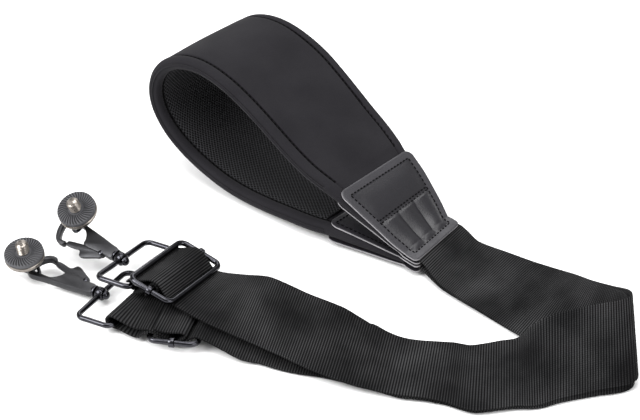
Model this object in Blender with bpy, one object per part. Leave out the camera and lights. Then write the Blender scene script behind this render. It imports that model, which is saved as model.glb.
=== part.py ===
"""Camera neck strap laid on a table: a padded loop, two webbings, two snap hooks.

Lengths are in millimetres until a mesh is made, +Z is up and the table is z = 0. Positions are
first laid out round a point of the table near the middle of the strap, and the whole strap is
moved at the end so that the world origin lies under the middle of its bounding box.
"""
import math

import bmesh
import bpy
from mathutils import Matrix, Vector

MM = 0.001
GAP = 0.35

# Webbing
WEB_WIDTH = 38.0
WEB_THICK = 1.0

# Neoprene pad
PAD_RIM = 6.5
PAD_HEADING = -41.2
PAD_END = Vector((57.7, -42.8, 0.0))
LINING_THICK = 0.9
LEATHER_THICK = 1.0
PATCH_LENGTH = 50.0
PUFF_HEIGHT = 1.6
PATCH_STEPS = 3

# Wire parts
SIDE_PLAY = 2.8
FRAME_LENGTH = WEB_WIDTH + 2 * SIDE_PLAY
SLIDER_DEPTH = 22.8
RING_DEPTH = 18.6
SLIDER_WIRE = 1.3
RING_WIRE = 1.2
BAR_WIRE = 1.0
CLIP_RADIUS = 2.35
CORNER_RADIUS = 3.6

# Swivel and hook
BOSS_RADIUS = 3.1
BOSS_BORE = 1.6
BOSS_LENGTH = 4.2
BOSS_OFFSET = 0.4
SHANK_RADIUS = 1.25
HOOK_THICK = 3.4
SLOT_WIDTH = 2.2
GATE_THICK = 1.6

# Screw adapter
DISC_RADIUS = 9.6
DISC_THICK = 2.3
RUBBER_RADIUS = 9.4
RUBBER_THICK = 2.4
SCREW_RADIUS = 3.175
SCREW_HEIGHT = 5.8
DRING_WIRE = 0.9
DRING_HALF = 6.6
DRING_DEPTH = 7.9
DRING_UNDER = 3.3

COLOURS = {
    "neoprene": ((0.030, 0.029, 0.034), 0.80, 0.0),
    "mesh": ((0.016, 0.016, 0.018), 0.95, 0.0),
    "leather": ((0.035, 0.034, 0.038), 0.50, 0.0),
    "webbing": ((0.020, 0.020, 0.022), 0.85, 0.0),
    "black_metal": ((0.015, 0.015, 0.016), 0.35, 1.0),
    "rubber": ((0.022, 0.022, 0.023), 0.75, 0.0),
    "steel": ((0.560, 0.550, 0.530), 0.30, 1.0),
}

# Mid line of the pad, from its upper end round the fold to its lower end:
# (distance from the end along the pad, height, thickness, half width, turn of the width,
#  lining, shift along the width)
PAD = [
    (9.5, 7.7, 1.0, 19.4, 8, 0, 0.0),
    (16, 10.6, 1.6, 21.6, 7, 0, 0.9),
    (24, 15.2, 2.9, 23.2, 5, 0, 1.2),
    (33, 20.6, 4.4, 25.0, 3, 0, 1.2),
    (41, 25.4, 5.6, 26.2, 2, 0, 0.8),
    (47.5, 29.2, 6.3, 27.6, 1, 0, 0.6),
    (51, 31.2, 6.4, 28.5, 0, 1, 0.5),
    (60, 36.2, 6.5, 30.4, 0, 1, 0.2),
    (70, 41.8, 6.5, 31.2, 0, 1, 0.3),
    (80, 47.8, 6.5, 31.7, 0, 1, 0.7),
    (90, 53.8, 6.5, 32.1, 0, 1, 1.1),
    (101, 59.7, 6.5, 32.5, 0, 1, 1.5),
    (112, 64.4, 6.5, 32.5, 0, 1, 1.5),
    (124, 67.4, 6.5, 32.5, 0, 1, 1.5),
    (135, 67.6, 6.5, 32.5, 0, 1, 1.5),
    (145.5, 65.0, 6.5, 32.5, 0, 1, 1.5),
    (154, 59.7, 6.5, 32.3, 0, 1, 1.6),
    (160.2, 51.4, 6.5, 32.0, 0, 1, 1.8),
    (162.4, 41.5, 6.5, 31.8, 0, 1, 2.0),
    (160, 32.0, 6.5, 31.6, 0, 1, 2.2),
    (153, 22.8, 6.5, 31.4, 0, 1, 2.4),
    (142.5, 15.4, 6.5, 31.2, 0, 1, 2.6),
    (129.5, 9.8, 6.5, 31.0, 0, 1, 2.6),
    (116.5, 6.5, 6.5, 31.0, 0, 1, 2.4),
    (104, 5.1, 6.5, 31.0, 0, 1, 2.2),
    (90, 5.0, 6.5, 31.0, 0, 1, 2.0),
    (75, 5.8, 6.5, 31.0, 0, 1, 1.8),
    (60, 6.6, 6.5, 30.4, 0, 1, 1.4),
    (51, 6.6, 6.4, 28.2, 0, 1, 1.0),
    (47.5, 6.4, 6.3, 27.2, 1, 0, 0.8),
    (41, 5.8, 5.6, 26.0, 2, 0, 1.0),
    (33, 5.1, 4.4, 24.6, 3, 0, 1.2),
    (24, 4.4, 3.0, 23.0, 5, 0, 1.2),
    (16, 3.8, 1.8, 21.4, 7, 0, 0.9),
    (9.5, 3.6, 1.0, 19.4, 8, 0, 0.0),
]

# Middle of the two webbings where they run together:
# (x, y, z, heading of the width, rise of the width, distance between them, sideways slip)
STACK = [
    (53.6, -39.2, 5.65, 58, 0, 4.1, 0.0),
    (57.9, -42.6, 5.60, 58, 0, 4.0, 0.0),
    (62.0, -48.6, 4.7, 58, 2, 3.0, 0.0),
    (66.5, -55.7, 4.1, 58, 4, 2.2, 0.0),
    (77.0, -67.4, 5.4, 51, 10, 1.5, 0.0),
    (87.1, -78.5, 6.8, 45, 15, 1.5, 0.0),
    (96.5, -89.5, 8.6, 38, 24, 1.5, 0.0),
    (106.0, -102.9, 11.9, 38, 36, 1.5, 0.2),
    (116.5, -116.2, 14.8, 46, 46, 1.5, 0.5),
    (126.5, -126.2, 17.2, 60, 56, 1.5, 1.0),
    (134.6, -132.6, 19.2, 80, 62, 1.6, 1.6),
    (138.9, -137.0, 20.3, 102, 67, 1.8, 2.4),
    (137.2, -140.4, 19.8, 98, 62, 1.8, 2.8),
    (132.0, -142.0, 18.9, 93, 57, 1.6, 3.0),
    (124.2, -143.4, 18.4, 90, 55, 1.5, 2.8),
    (114.6, -146.0, 17.8, 90, 54, 1.5, 2.4),
    (105.6, -148.4, 16.9, 89, 51, 1.5, 2.0),
    (98.4, -149.2, 14.0, 90, 41, 1.5, 1.4),
    (93.4, -148.8, 10.9, 89, 30, 1.5, 0.8),
    (88.0, -147.6, 7.2, 87, 17, 1.5, 0.4),
    (79.7, -149.2, 6.9, 87, 16, 1.5, 0.0),
    (70.5, -151.2, 6.7, 85, 15, 1.5, 0.0),
    (65.3, -149.6, 5.8, 84, 12, 1.5, 0.0),
    (57.9, -144.6, 4.6, 82, 9, 1.5, 0.0),
    (46.9, -141.2, 3.9, 81, 6, 1.5, 0.0),
    (38.5, -139.8, 3.9, 80, 6, 1.5, 0.0),
    (30.9, -137.7, 4.3, 79, 7, 1.7, -1.4),
    (19.4, -133.9, 6.0, 77, 12, 2.5, -2.8),
]

# The lower webbing alone, between the stack and its slider: (x, y, z, heading, rise)
LOWER_RUN = [
    (11.9, -131.2, 9.4, 75, 16),
    (5.9, -128.6, 11.1, 74, 19),
    (-1.4, -124.6, 11.9, 73, 19),
    (-10.6, -118.9, 12.8, 73, 17),
    (-20.4, -112.6, 13.8, 73, 18),
    (-28.9, -107.1, 14.3, 72, 17),
    (-36.8, -101.4, 13.0, 71, 11),
    (-46.0, -94.2, 11.4, 66, 4),
]

# The upper webbing alone, between the stack and its slider
UPPER_RUN = [
    (4.5, -123.9, 3.6, 77, 8),
    (-5.6, -121.2, 3.4, 77, 8),
    (-15.0, -117.6, 3.4, 76, 8),
    (-23.3, -113.7, 3.5, 76, 7),
    (-31.0, -112.2, 3.7, 76, 5),
    (-39.0, -107.6, 4.8, 76, 3),
]

# Path of a webbing through its slider, side view: (along the strap, above the frame). Distances
# along the strap belong to a slider of the view's depth and stretch with the real one.
VIEW_DEPTH = 22.8
SLIDER_IN = [
    (-11.4, -2.15), (-6.5, 0.1), (-2.6, 2.95), (0, 3.3), (2.8, 2.8), (6.3, 0.5), (9.8, -1.9),
]
LOWER_DOWN = [(12.2, -2.7), (13.9, -5.0)]
LOWER_OUT = [
    (9.2, -9.1), (5.6, -6.2), (3.3, -3.0), (2.2, -0.2), (1.5, 1.3), (0, 1.9), (-1.5, 1.2),
    (-1.95, -0.3), (-1.2, -1.9), (0.6, -3.6), (3.0, -6.2),
]
UPPER_DOWN = [(11.9, 2.2), (14.0, 1.5), (17.6, -1.4)]
UPPER_OUT = [
    (18, 3.5), (12.6, 3.6), (9, 2.6), (6, 1.2), (3, -0.9), (1.2, -1.75), (-0.8, -1.75),
    (-2.9, -0.6), (-5.0, 0.9), (-5.7, 2.2), (-4.9, 3.3), (-3.0, 3.6), (0, 3.3), (4, 3.1),
    (7, 3.6), (9.4, 4.3),
]

# Loose fold of the upper webbing round its ring, side view of the ring: (to the hook, above it)
UPPER_FOLD = [
    (-12.5, -2.2), (-9.3, -2.07), (-6.6, -1.7), (-5.2, -0.2), (-5.1, 1.5), (-6.3, 3.0), (-9.2, 3.6),
]

# Poses: (centre, heading of the direction to the hook, pitch, roll)
SLIDER_FRONT = (Vector((-67.0, -78.8, 15.5)), 148.5, 15.0, 5.0)
SLIDER_REAR = (Vector((-61.9, -98.8, 4.1)), 166.0, -2.0, 0.0)
RING_FRONT = (Vector((-85.2, -65.6, 11.0)), 150.5, 0.0, 6.0)
RING_REAR = (Vector((-93.7, -84.2, 3.9)), 151.8, 0.0, 1.0)

# Hook axes and the direction from a hook's back to its gate
HOOK_FRONT = (Vector((-0.71, 0.70, 0.077)), Vector((-0.60, -0.62, -0.50)))
HOOK_REAR = (Vector((-0.868, 0.495, 0.02)), Vector((0.46, 0.87, 0.20)))
FLANGE_STANDOFF = 2.8

# Hook plate and gate outlines: (along the hook from its flange, towards the gate)
PLATE = [
    (1.0, -2.6), (6, -3.2), (12, -3.6), (18, -3.8), (26, -4.0), (32.2, -4.4), (34.6, -4.3),
    (36.6, -3.0), (37.7, -0.9), (37.6, 1.8), (37.0, 4.4), (35.9, 7.0), (34.2, 9.3), (32.0, 10.7),
    (29.8, 10.9), (27.9, 10.2), (28.1, 8.2), (29.9, 8.5), (31.4, 8.3), (32.8, 7.2), (34.0, 5.4),
    (34.8, 3.2), (35.1, 1.2), (34.9, -0.3), (33.8, -1.2), (30.0, -1.6), (26.0, -1.9), (24.0, -1.7),
    (21.6, -0.2), (19.8, 2.0), (18.6, 4.6), (12, 4.3), (6, 3.3), (1.0, 2.6),
]
GATE = [
    (6.4, 1.6), (12, 2.4), (17.0, 3.9), (22, 5.3), (26.6, 6.8), (27.4, 7.7), (27.0, 9.3),
    (23.3, 8.9), (19.6, 7.9), (18.0, 8.6), (16.8, 10.3), (14.6, 10.1), (12.0, 8.6), (8.6, 6.6),
    (6.9, 5.6), (6.4, 4.4),
]
SLOT_START = 5.4
SLOT_END = 23.0
SLOT_FLOOR = -1.6
GATE_PIVOT = (7.6, 3.4)

# Where each D-ring holds its hook (along, towards the gate), the disc's face normal, the
# sideways offset of the disc in the D-ring
HOLD_FRONT = (29.8, -5.4, Vector((-0.235, -0.434, 0.869)), 0.0)
HOLD_REAR = (36.3, 0.2, Vector((-0.1, -0.25, 0.963)), 2.4)


def clear_scene():
    """Remove every object that the scene starts with."""
    for item in list(bpy.data.objects):
        bpy.data.objects.remove(item, do_unlink=True)


def material(kind):
    """Return the named finish, made once."""
    found = bpy.data.materials.get(kind)
    if found:
        return found
    colour, rough, metal = COLOURS[kind]
    made = bpy.data.materials.new(kind)
    made.use_nodes = True
    shader = made.node_tree.nodes["Principled BSDF"]
    shader.inputs["Base Color"].default_value = (*colour, 1.0)
    shader.inputs["Roughness"].default_value = rough
    shader.inputs["Metallic"].default_value = metal
    made.diffuse_color = (*colour, 1.0)
    return made


def solid(name, points, faces, kind):
    """Make one closed object from points in millimetres."""
    mesh = bpy.data.meshes.new(name)
    mesh.from_pydata([tuple(p * MM) for p in points], [], faces)
    shape = bmesh.new()
    shape.from_mesh(mesh)
    bmesh.ops.triangulate(shape, faces=[f for f in shape.faces if len(f.verts) > 4])
    bmesh.ops.recalc_face_normals(shape, faces=shape.faces)
    shape.to_mesh(mesh)
    shape.free()
    mesh.materials.append(material(kind))
    item = bpy.data.objects.new(name, mesh)
    bpy.context.collection.objects.link(item)
    return item


def combine(base, other, operation):
    """Apply a boolean of the second object to the first and drop the second."""
    step = base.modifiers.new("combine", "BOOLEAN")
    step.operation = operation
    step.solver = "EXACT"
    step.object = other
    bpy.context.view_layer.update()
    result = base.evaluated_get(bpy.context.evaluated_depsgraph_get())
    mesh = bpy.data.meshes.new_from_object(result)
    base.modifiers.clear()
    old = base.data
    base.data = mesh
    bpy.data.meshes.remove(old)
    mesh.name = base.name
    bpy.data.objects.remove(other, do_unlink=True)
    shape = bmesh.new()
    shape.from_mesh(mesh)
    bmesh.ops.remove_doubles(shape, verts=shape.verts, dist=0.00001)
    bmesh.ops.triangulate(shape, faces=[f for f in shape.faces if len(f.verts) > 4])
    shape.to_mesh(mesh)
    shape.free()
    return base


def rings_solid(name, rings, kind, closed=False):
    """Join equal rings of points into one closed body, with end faces unless it is a loop."""
    count = len(rings[0])
    points = [p for ring in rings for p in ring]
    faces = []
    spans = len(rings) if closed else len(rings) - 1
    for i in range(spans):
        a = i * count
        b = ((i + 1) % len(rings)) * count
        for k in range(count):
            n = (k + 1) % count
            faces.append((a + k, a + n, b + n, b + k))
    if not closed:
        faces.append(tuple(range(count - 1, -1, -1)))
        faces.append(tuple(range(len(points) - count, len(points))))
    return solid(name, points, faces, kind)


def spline(points, steps):
    """Pass a smooth curve through points, each a Vector of any length."""
    out = []
    last = len(points) - 1
    for i in range(last):
        p0 = points[max(i - 1, 0)]
        p1 = points[i]
        p2 = points[i + 1]
        p3 = points[min(i + 2, last)]
        d01 = max((p1 - p0).length, 1e-6) ** 0.5
        d12 = max((p2 - p1).length, 1e-6) ** 0.5
        d23 = max((p3 - p2).length, 1e-6) ** 0.5
        m1 = (p2 - p0) / (d01 + d12) * d12 if i > 0 else (p2 - p1)
        m2 = (p3 - p1) / (d12 + d23) * d12 if i < last - 1 else (p2 - p1)
        for s in range(steps):
            t = s / steps
            h1 = 2 * t ** 3 - 3 * t ** 2 + 1
            h2 = t ** 3 - 2 * t ** 2 + t
            h3 = 3 * t ** 2 - 2 * t ** 3
            h4 = t ** 3 - t ** 2
            out.append(p1 * h1 + m1 * h2 + p2 * h3 + m2 * h4)
    out.append(points[last].copy())
    return out


def direction(heading, rise=0.0):
    """Unit vector at a heading and a rise above the table, in degrees."""
    a = math.radians(heading)
    b = math.radians(rise)
    return Vector((math.cos(a) * math.cos(b), math.sin(a) * math.cos(b), math.sin(b)))


class Pose:
    """Local frame of a wire part: u to the hook, v along the bars, w out of the frame."""

    def __init__(self, centre, heading, pitch, roll):
        self.centre = centre
        self.u = direction(heading, pitch)
        flat = Vector((0, 0, 1)).cross(direction(heading))
        self.v = Matrix.Rotation(math.radians(roll), 3, self.u) @ flat
        self.w = self.u.cross(self.v)

    def at(self, u, v, w):
        """Point of the layout at local coordinates."""
        return self.centre + self.u * u + self.v * v + self.w * w


def tube(name, path, radius, kind, sides=8, closed=False):
    """Sweep a round section along a path without twisting it."""
    count = len(path)
    tangents = []
    for i in range(count):
        before = path[i - 1] if closed or i > 0 else path[i]
        after = path[(i + 1) % count] if closed or i < count - 1 else path[i]
        tangents.append((after - before).normalized())
    side = tangents[0].orthogonal().normalized()
    rings = []
    for i in range(count):
        side = (side - tangents[i] * side.dot(tangents[i])).normalized()
        other = tangents[i].cross(side)
        ring = []
        for k in range(sides):
            a = 2 * math.pi * k / sides
            ring.append(path[i] + side * (radius * math.cos(a)) + other * (radius * math.sin(a)))
        rings.append(ring)
    return rings_solid(name, rings, kind, closed)


def circle(centre, axis, radius, sides):
    """Points of a circle round an axis."""
    side = axis.orthogonal().normalized() * radius
    other = axis.cross(side)
    turns = [2 * math.pi * k / sides for k in range(sides)]
    return [centre + side * math.cos(a) + other * math.sin(a) for a in turns]


def lathe(name, profile, base, axis, kind, sides=16, bored=False):
    """Turn a profile of (along the axis, radius) pairs, with flat ends unless it is bored."""
    rings = [circle(base + axis * along, axis, radius, sides) for along, radius in profile]
    return rings_solid(name, rings, kind, closed=bored)


def prism(name, outline, thick, base, u, v, kind):
    """Extrude an outline of (u, v) pairs equally to both sides of its plane."""
    w = u.cross(v).normalized()
    rings = []
    for h in (-thick / 2, thick / 2):
        rings.append([base + u * a + v * b + w * h for a, b in outline])
    return rings_solid(name, rings, kind)


def sleeve(name, outer, inner, length, centre, axis, kind, sides=16):
    """Short bored cylinder."""
    profile = ((outer, -0.5), (outer, 0.5), (inner, 0.5), (inner, -0.5))
    rings = [circle(centre + axis * (at * length), axis, radius, sides) for radius, at in profile]
    return rings_solid(name, rings, kind, closed=True)


def frame_path(pose, depth, opening=0.0):
    """Rounded rectangle of a wire frame; an opening leaves out the middle of its hook side."""
    hu = depth / 2
    hv = FRAME_LENGTH / 2
    r = CORNER_RADIUS
    path = []
    if opening:
        path.append(pose.at(hu, opening, 0))
        path.append(pose.at(hu, (hv - r) / 2, 0))
    corners = (
        (hu - r, hv - r, 0), (-hu + r, hv - r, 90), (-hu + r, -hv + r, 180), (hu - r, -hv + r, 270),
    )
    for cu, cv, start in corners:
        for s in range(5):
            a = math.radians(start + 22.5 * s)
            path.append(pose.at(cu + r * math.cos(a), cv + r * math.sin(a), 0))
    if opening:
        path.append(pose.at(hu, -(hv - r) / 2, 0))
        path.append(pose.at(hu, -opening, 0))
    return path


def pad_place(row):
    """Centre and width direction of a pad section from its table row."""
    along, height, _, _, turn, _, aside = row
    back = direction(PAD_HEADING) * -1
    centre = PAD_END + back * along + direction(PAD_HEADING + 90) * aside
    return Vector((centre.x, centre.y, height)), direction(PAD_HEADING + 90 + turn)


def pad_sections(steps):
    """Dense sections of the pad: centre, width direction, outward normal and table values."""
    rows = spline([Vector(row) for row in PAD], steps)
    sections = []
    for i, row in enumerate(rows):
        before = rows[max(i - 1, 0)]
        after = rows[min(i + 1, len(rows) - 1)]
        centre, across = pad_place(row)
        start, _ = pad_place(before)
        end, _ = pad_place(after)
        tangent = (end - start).normalized()
        normal = across.cross(tangent).normalized()
        sections.append((centre, across, normal, row[2], row[3], max(0.0, min(1.0, row[5]))))
    return sections


def build_pad():
    """Neoprene shell with rolled edges, and the mesh lining set into its inner face."""
    sections = pad_sections(2)
    rings = []
    lining = []
    depth = LINING_THICK + GAP
    for centre, across, normal, thick, half, lined in sections:
        h = thick / 2
        e = min(h, 3.0)
        inner = half - PAD_RIM
        sink = depth * lined
        shape = [
            (-half + e, h), (0, h), (half - e, h), (half - e * 0.3, h * 0.72), (half, 0),
            (half - e * 0.3, -h * 0.72), (half - e, -h), (inner, -h), (inner, -h + sink),
            (-inner, -h + sink), (-inner, -h), (-half + e, -h), (-half + e * 0.3, -h * 0.72),
            (-half, 0), (-half + e * 0.3, h * 0.72),
        ]
        if lined < 0.5:
            shape[8] = (inner, -h + 0.001)
            shape[9] = (-inner, -h + 0.001)
        rings.append([centre + across * a + normal * b for a, b in shape])
        if lined > 0.995:
            edge = inner - GAP
            low = -h + depth - GAP
            lining.append([
                centre - across * edge + normal * low,
                centre + across * edge + normal * low,
                centre + across * edge + normal * (low - LINING_THICK),
                centre - across * edge + normal * (low - LINING_THICK),
            ])
    rings_solid("pad_shell", rings, "neoprene")
    rings_solid("pad_mesh_lining", lining[1:-1], "mesh")


def build_patch(name, upper, outer):
    """Leather end patch laid on one face of one pad end, reaching past the neoprene."""
    sections = pad_sections(PATCH_STEPS if outer and upper else 1)
    if not upper:
        sections = sections[::-1]
    chosen = sections[:24]
    lead = chosen[0]
    step = (chosen[1][0] - lead[0]).normalized()
    flat = Vector((step.x, step.y, 0)).normalized()
    tip = (lead[0] - flat * 9.2, lead[1], Vector((0, 0, 1 if upper else -1)), lead[3], 19.75, 0)
    neck = (lead[0] - flat * 4.6, lead[1], tip[2], lead[3], 19.75, 0)
    chosen = [tip, neck] + chosen
    length = 0.0
    previous = None
    columns = 13 if outer and upper else 3
    top = []
    low = []
    for centre, across, normal, thick, half, lined in chosen:
        if previous is not None:
            length += (centre - previous).length
        previous = centre
        if length > PATCH_LENGTH:
            break
        face = 1 if outer else -1
        near = thick / 2 + GAP
        reach = max(half - 1.2 if not outer else half + 0.4, 19.4)
        edge = min(1.0, (PATCH_LENGTH - length) / 5.0 + 0.84)
        row_top = []
        row_low = []
        for c in range(columns):
            s = -1 + 2 * c / (columns - 1)
            puff = puff_height(length, s) if outer and upper else 0.0
            place = centre + across * (s * reach * edge)
            row_low.append(place + normal * (face * near))
            row_top.append(place + normal * (face * (near + LEATHER_THICK + puff)))
        top.append(row_top)
        low.append(row_low)
    rings = [row_top + row_low[::-1] for row_top, row_low in zip(top, low)]
    rings_solid(name, rings, "leather")


def puff_height(length, side):
    """Padding under the leather: one plain panel by the wide end, three ribs by the narrow one."""
    border = 0.78
    if abs(side) > border:
        return 0.0
    if 27.0 < length < 45.0:
        return PUFF_HEIGHT * math.sin(math.pi * (length - 27.0) / 18.0) ** 0.4
    if 4.5 < length < 25.5:
        rib = math.sin(math.pi * ((side / border + 1) * 1.5 % 1.0))
        return PUFF_HEIGHT * math.sin(math.pi * (length - 4.5) / 21.0) ** 0.4 * (0.15 + 0.85 * rib)
    return 0.0


def ribbon(name, stations, thick, width, kind):
    """Sweep a flat band through stations, each a centre and a width direction."""
    rings = []
    last = len(stations) - 1
    for i, (centre, across) in enumerate(stations):
        before = stations[max(i - 1, 0)][0]
        after = stations[min(i + 1, last)][0]
        normal = (after - before).cross(across).normalized()
        h = thick / 2
        w = width / 2
        rings.append([
            centre - across * w - normal * h,
            centre + across * w - normal * h,
            centre + across * w + normal * h,
            centre - across * w + normal * h,
        ])
    band = rings_solid(name, rings, kind)
    shape = bmesh.new()
    shape.from_mesh(band.data)
    bmesh.ops.triangulate(shape, faces=shape.faces)
    shape.to_mesh(band.data)
    shape.free()
    return band


def stack_stations(sign, steps):
    """Centres of one webbing along the run it shares with the other, +1 for the upper one."""
    rows = spline([Vector(row) for row in STACK], steps)
    stations = []
    last = len(rows) - 1
    for i, row in enumerate(rows):
        before = rows[max(i - 1, 0)]
        after = rows[min(i + 1, last)]
        tangent = Vector((after[0] - before[0], after[1] - before[1], after[2] - before[2]))
        across = direction(row[3], row[4])
        normal = tangent.cross(across).normalized()
        centre = Vector((row[0], row[1], row[2])) + normal * (sign * row[5] / 2)
        if sign > 0:
            centre = centre - across * row[6]
        stations.append((centre, across))
    return stations


def local_run(pose, pairs, flip=1.0, reach=1.0):
    """Stations of a side-view path in a wire part's frame, stretched along the strap by reach."""
    return [(pose.at(u * reach, 0, w * flip), pose.v * -1) for u, w in pairs]


def smooth_run(stations, steps):
    """Smooth a list of stations."""
    rows = [Vector((*centre, *(across * 20))) for centre, across in stations]
    out = []
    for row in spline(rows, steps):
        out.append((Vector(row[:3]), Vector(row[3:6]).normalized()))
    return out


def ring_wrap(pose, radius, start, end, count):
    """Stations round the strap side bar of a ring, by angle in its side view."""
    out = []
    for k in range(count):
        a = math.radians(start + (end - start) * k / (count - 1))
        out.append((pose.at(-RING_DEPTH / 2 + radius * math.cos(a), 0, radius * math.sin(a)), pose.v * -1))
    return out


def build_webbing():
    """Both webbings, from the pad's leather through slider and ring and back."""
    front = Pose(*SLIDER_FRONT)
    rear = Pose(*SLIDER_REAR)
    ring = Pose(*RING_FRONT)
    reach = SLIDER_DEPTH / VIEW_DEPTH
    lower = [(Vector(r[:3]), direction(r[3], r[4])) for r in LOWER_RUN]
    wrap = ring_wrap(ring, RING_WIRE + GAP + WEB_THICK / 2, 30, -120, 6)
    into = local_run(front, SLIDER_IN + LOWER_DOWN, reach=reach)
    loop = lower + into + wrap + local_run(front, LOWER_OUT, reach=reach)
    shared = stack_stations(-1, 2)
    joined = smooth_run([shared[-1]] + loop, 2)
    ribbon("webbing_lower", shared[:-1] + joined, WEB_THICK, WEB_WIDTH, "webbing")
    upper = [(Vector(r[:3]), direction(r[3], r[4])) for r in UPPER_RUN]
    through = local_run(rear, SLIDER_IN, -1.0, reach)
    fold = local_run(Pose(*RING_REAR), UPPER_FOLD)
    down = local_run(rear, UPPER_DOWN, reach=reach)
    loop = upper + through + down + fold + local_run(rear, UPPER_OUT, reach=reach)
    shared = stack_stations(1, 2)
    joined = smooth_run([shared[-1]] + loop, 2)
    ribbon("webbing_upper", shared[:-1] + joined, WEB_THICK, WEB_WIDTH, "webbing")


def build_slider(tag, pose_data):
    """Wire frame and the centre bar with a clip round each short side."""
    pose = Pose(*pose_data)
    tube("slider_" + tag, frame_path(pose, SLIDER_DEPTH), SLIDER_WIRE, "black_metal", closed=True)
    half = FRAME_LENGTH / 2
    path = [pose.at(0, s * (half - 1.95), 0) for s in (-1, -0.5, 0, 0.5, 1)]
    bar = tube("slider_" + tag + "_bar", path, BAR_WIRE, "black_metal")
    bore = SLIDER_WIRE + 0.3
    for side in (-1, 1):
        end = pose.at(0, side * half, 0)
        clip = sleeve("clip", CLIP_RADIUS, bore, 2.6, end, pose.u, "black_metal", 12)
        bar = combine(bar, clip, "UNION")


def hook_base(tag):
    """Boss centre, hook axis, gate direction and plate normal of one side."""
    ring = Pose(*(RING_FRONT if tag == "front" else RING_REAR))
    axis, gate = HOOK_FRONT if tag == "front" else HOOK_REAR
    axis = axis.normalized()
    gate = (gate - axis * gate.dot(axis)).normalized()
    boss = ring.at(RING_DEPTH / 2 + BOSS_OFFSET, 0, 0)
    return ring, boss, axis, gate


def build_ring(tag):
    """Rectangular wire ring whose hook side carries the bored swivel boss."""
    ring, boss, axis, _ = hook_base(tag)
    wire = tube("ring_" + tag, frame_path(ring, RING_DEPTH, opening=2.4), RING_WIRE, "black_metal")
    barrel = sleeve("barrel", BOSS_RADIUS, BOSS_BORE, BOSS_LENGTH, boss, axis, "black_metal", 16)
    combine(wire, barrel, "UNION")


def build_hook(tag):
    """Snap hook: plate and claw, swivel flange, shank and rivet dome, with its gate."""
    _, boss, axis, gate = hook_base(tag)
    flange = boss + axis * FLANGE_STANDOFF
    body = prism("hook_" + tag, PLATE, HOOK_THICK, flange, axis, gate, "black_metal")
    cut = [(SLOT_START, SLOT_FLOOR), (SLOT_END, SLOT_FLOOR), (SLOT_END, 6.0), (SLOT_START, 6.0)]
    slot = prism("slot", cut, SLOT_WIDTH, flange, axis, gate, "black_metal")
    body = combine(body, slot, "DIFFERENCE")
    start = -FLANGE_STANDOFF - BOSS_LENGTH / 2 - GAP
    profile = [
        (start - 2.2, 0.9), (start - 1.8, 1.6), (start - 0.9, 2.1), (start, 2.2), (start, SHANK_RADIUS),
        (-0.2, SHANK_RADIUS), (-0.2, 3.0), (0.9, 3.0), (1.4, 2.0), (2.4, 1.2),
    ]
    swivel = lathe("swivel", profile, flange, axis, "black_metal", 16)
    combine(body, swivel, "UNION")
    hang(body, boss)
    lever = prism("gate_" + tag, GATE, GATE_THICK, flange, axis, gate, "black_metal")
    hang(lever, flange + axis * GATE_PIVOT[0] + gate * GATE_PIVOT[1], body)


def build_adapter(tag):
    """D-ring, steel disc with its hinge lug, ribbed rubber face and camera screw."""
    _, boss, axis, gate = hook_base(tag)
    along, side, normal, offset = HOLD_FRONT if tag == "front" else HOLD_REAR
    normal = normal.normalized()
    hold = boss + axis * (FLANGE_STANDOFF + along) + gate * side
    if tag == "front":
        bar = axis.cross(normal).normalized()
    else:
        bar = (axis - normal * axis.dot(normal)).normalized()
    down = normal * -1
    hinge = hold + normal * (DRING_DEPTH - DRING_UNDER) + bar * offset
    r = DRING_WIRE
    outline = []
    corners = ((DRING_HALF - 0.9, 0.9, -90, 0.9), (DRING_HALF - 2.6, DRING_DEPTH - 2.6, 0, 2.6))
    for cx, cy, start, turn in corners:
        for s in range(4):
            a = math.radians(start + 30 * s)
            outline.append((cx + turn * math.cos(a), cy + turn * math.sin(a)))
    outline += [(-x, y) for x, y in reversed(outline)]
    path = [hinge + bar * x + down * y for x, y in outline]
    ring = tube("dring_" + tag, path, r, "black_metal", closed=True)
    hang(ring, hold, bpy.data.objects["hook_" + tag])
    base = hinge + normal * (r + GAP + 0.8)
    top = DISC_THICK
    plate = [(0, DISC_RADIUS - 0.5), (0.5, DISC_RADIUS), (top, DISC_RADIUS)]
    disc = lathe("disc_" + tag, plate, base, normal, "steel", 40)
    lug = sleeve("lug", r + GAP + 1.0, r + GAP, 4.0, hinge, bar, "steel", 16)
    combine(disc, lug, "UNION")
    hang(disc, hinge, ring)
    seat = base + normal * (top + 0.05)
    bore = SCREW_RADIUS + GAP
    rubber = [
        (0, bore), (0, RUBBER_RADIUS), (RUBBER_THICK - 0.6, RUBBER_RADIUS),
        (RUBBER_THICK, RUBBER_RADIUS - 0.7), (RUBBER_THICK, bore),
    ]
    grip = lathe("disc_pad_" + tag, rubber, seat, normal, "rubber", 40, bored=True)
    hang(grip, seat, disc)
    tip = RUBBER_THICK + 0.05 + SCREW_HEIGHT
    screw = [(0, SCREW_RADIUS), (tip - 0.6, SCREW_RADIUS), (tip, SCREW_RADIUS - 0.6)]
    hang(lathe("screw_" + tag, screw, seat, normal, "steel", 24), seat, disc)


def hang(item, point, parent=None):
    """Put an object's origin on its joint or seat, and join it to what carries it."""
    place = point * MM
    item.data.transform(Matrix.Translation(-place))
    item.location = place
    if parent:
        item.parent = parent
        item.location = place - parent.matrix_world.translation
    bpy.context.view_layer.update()


def centre_on_table():
    """Move the strap so that the origin lies under the middle of the whole of it."""
    corners = [item.matrix_world @ v.co for item in bpy.data.objects for v in item.data.vertices]
    low = Vector([min(c[k] for c in corners) for k in range(3)])
    high = Vector([max(c[k] for c in corners) for k in range(3)])
    shift = Vector((-(low.x + high.x) / 2, -(low.y + high.y) / 2, -low.z))
    for item in bpy.data.objects:
        if not item.parent:
            item.location += shift
    bpy.context.view_layer.update()


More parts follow.
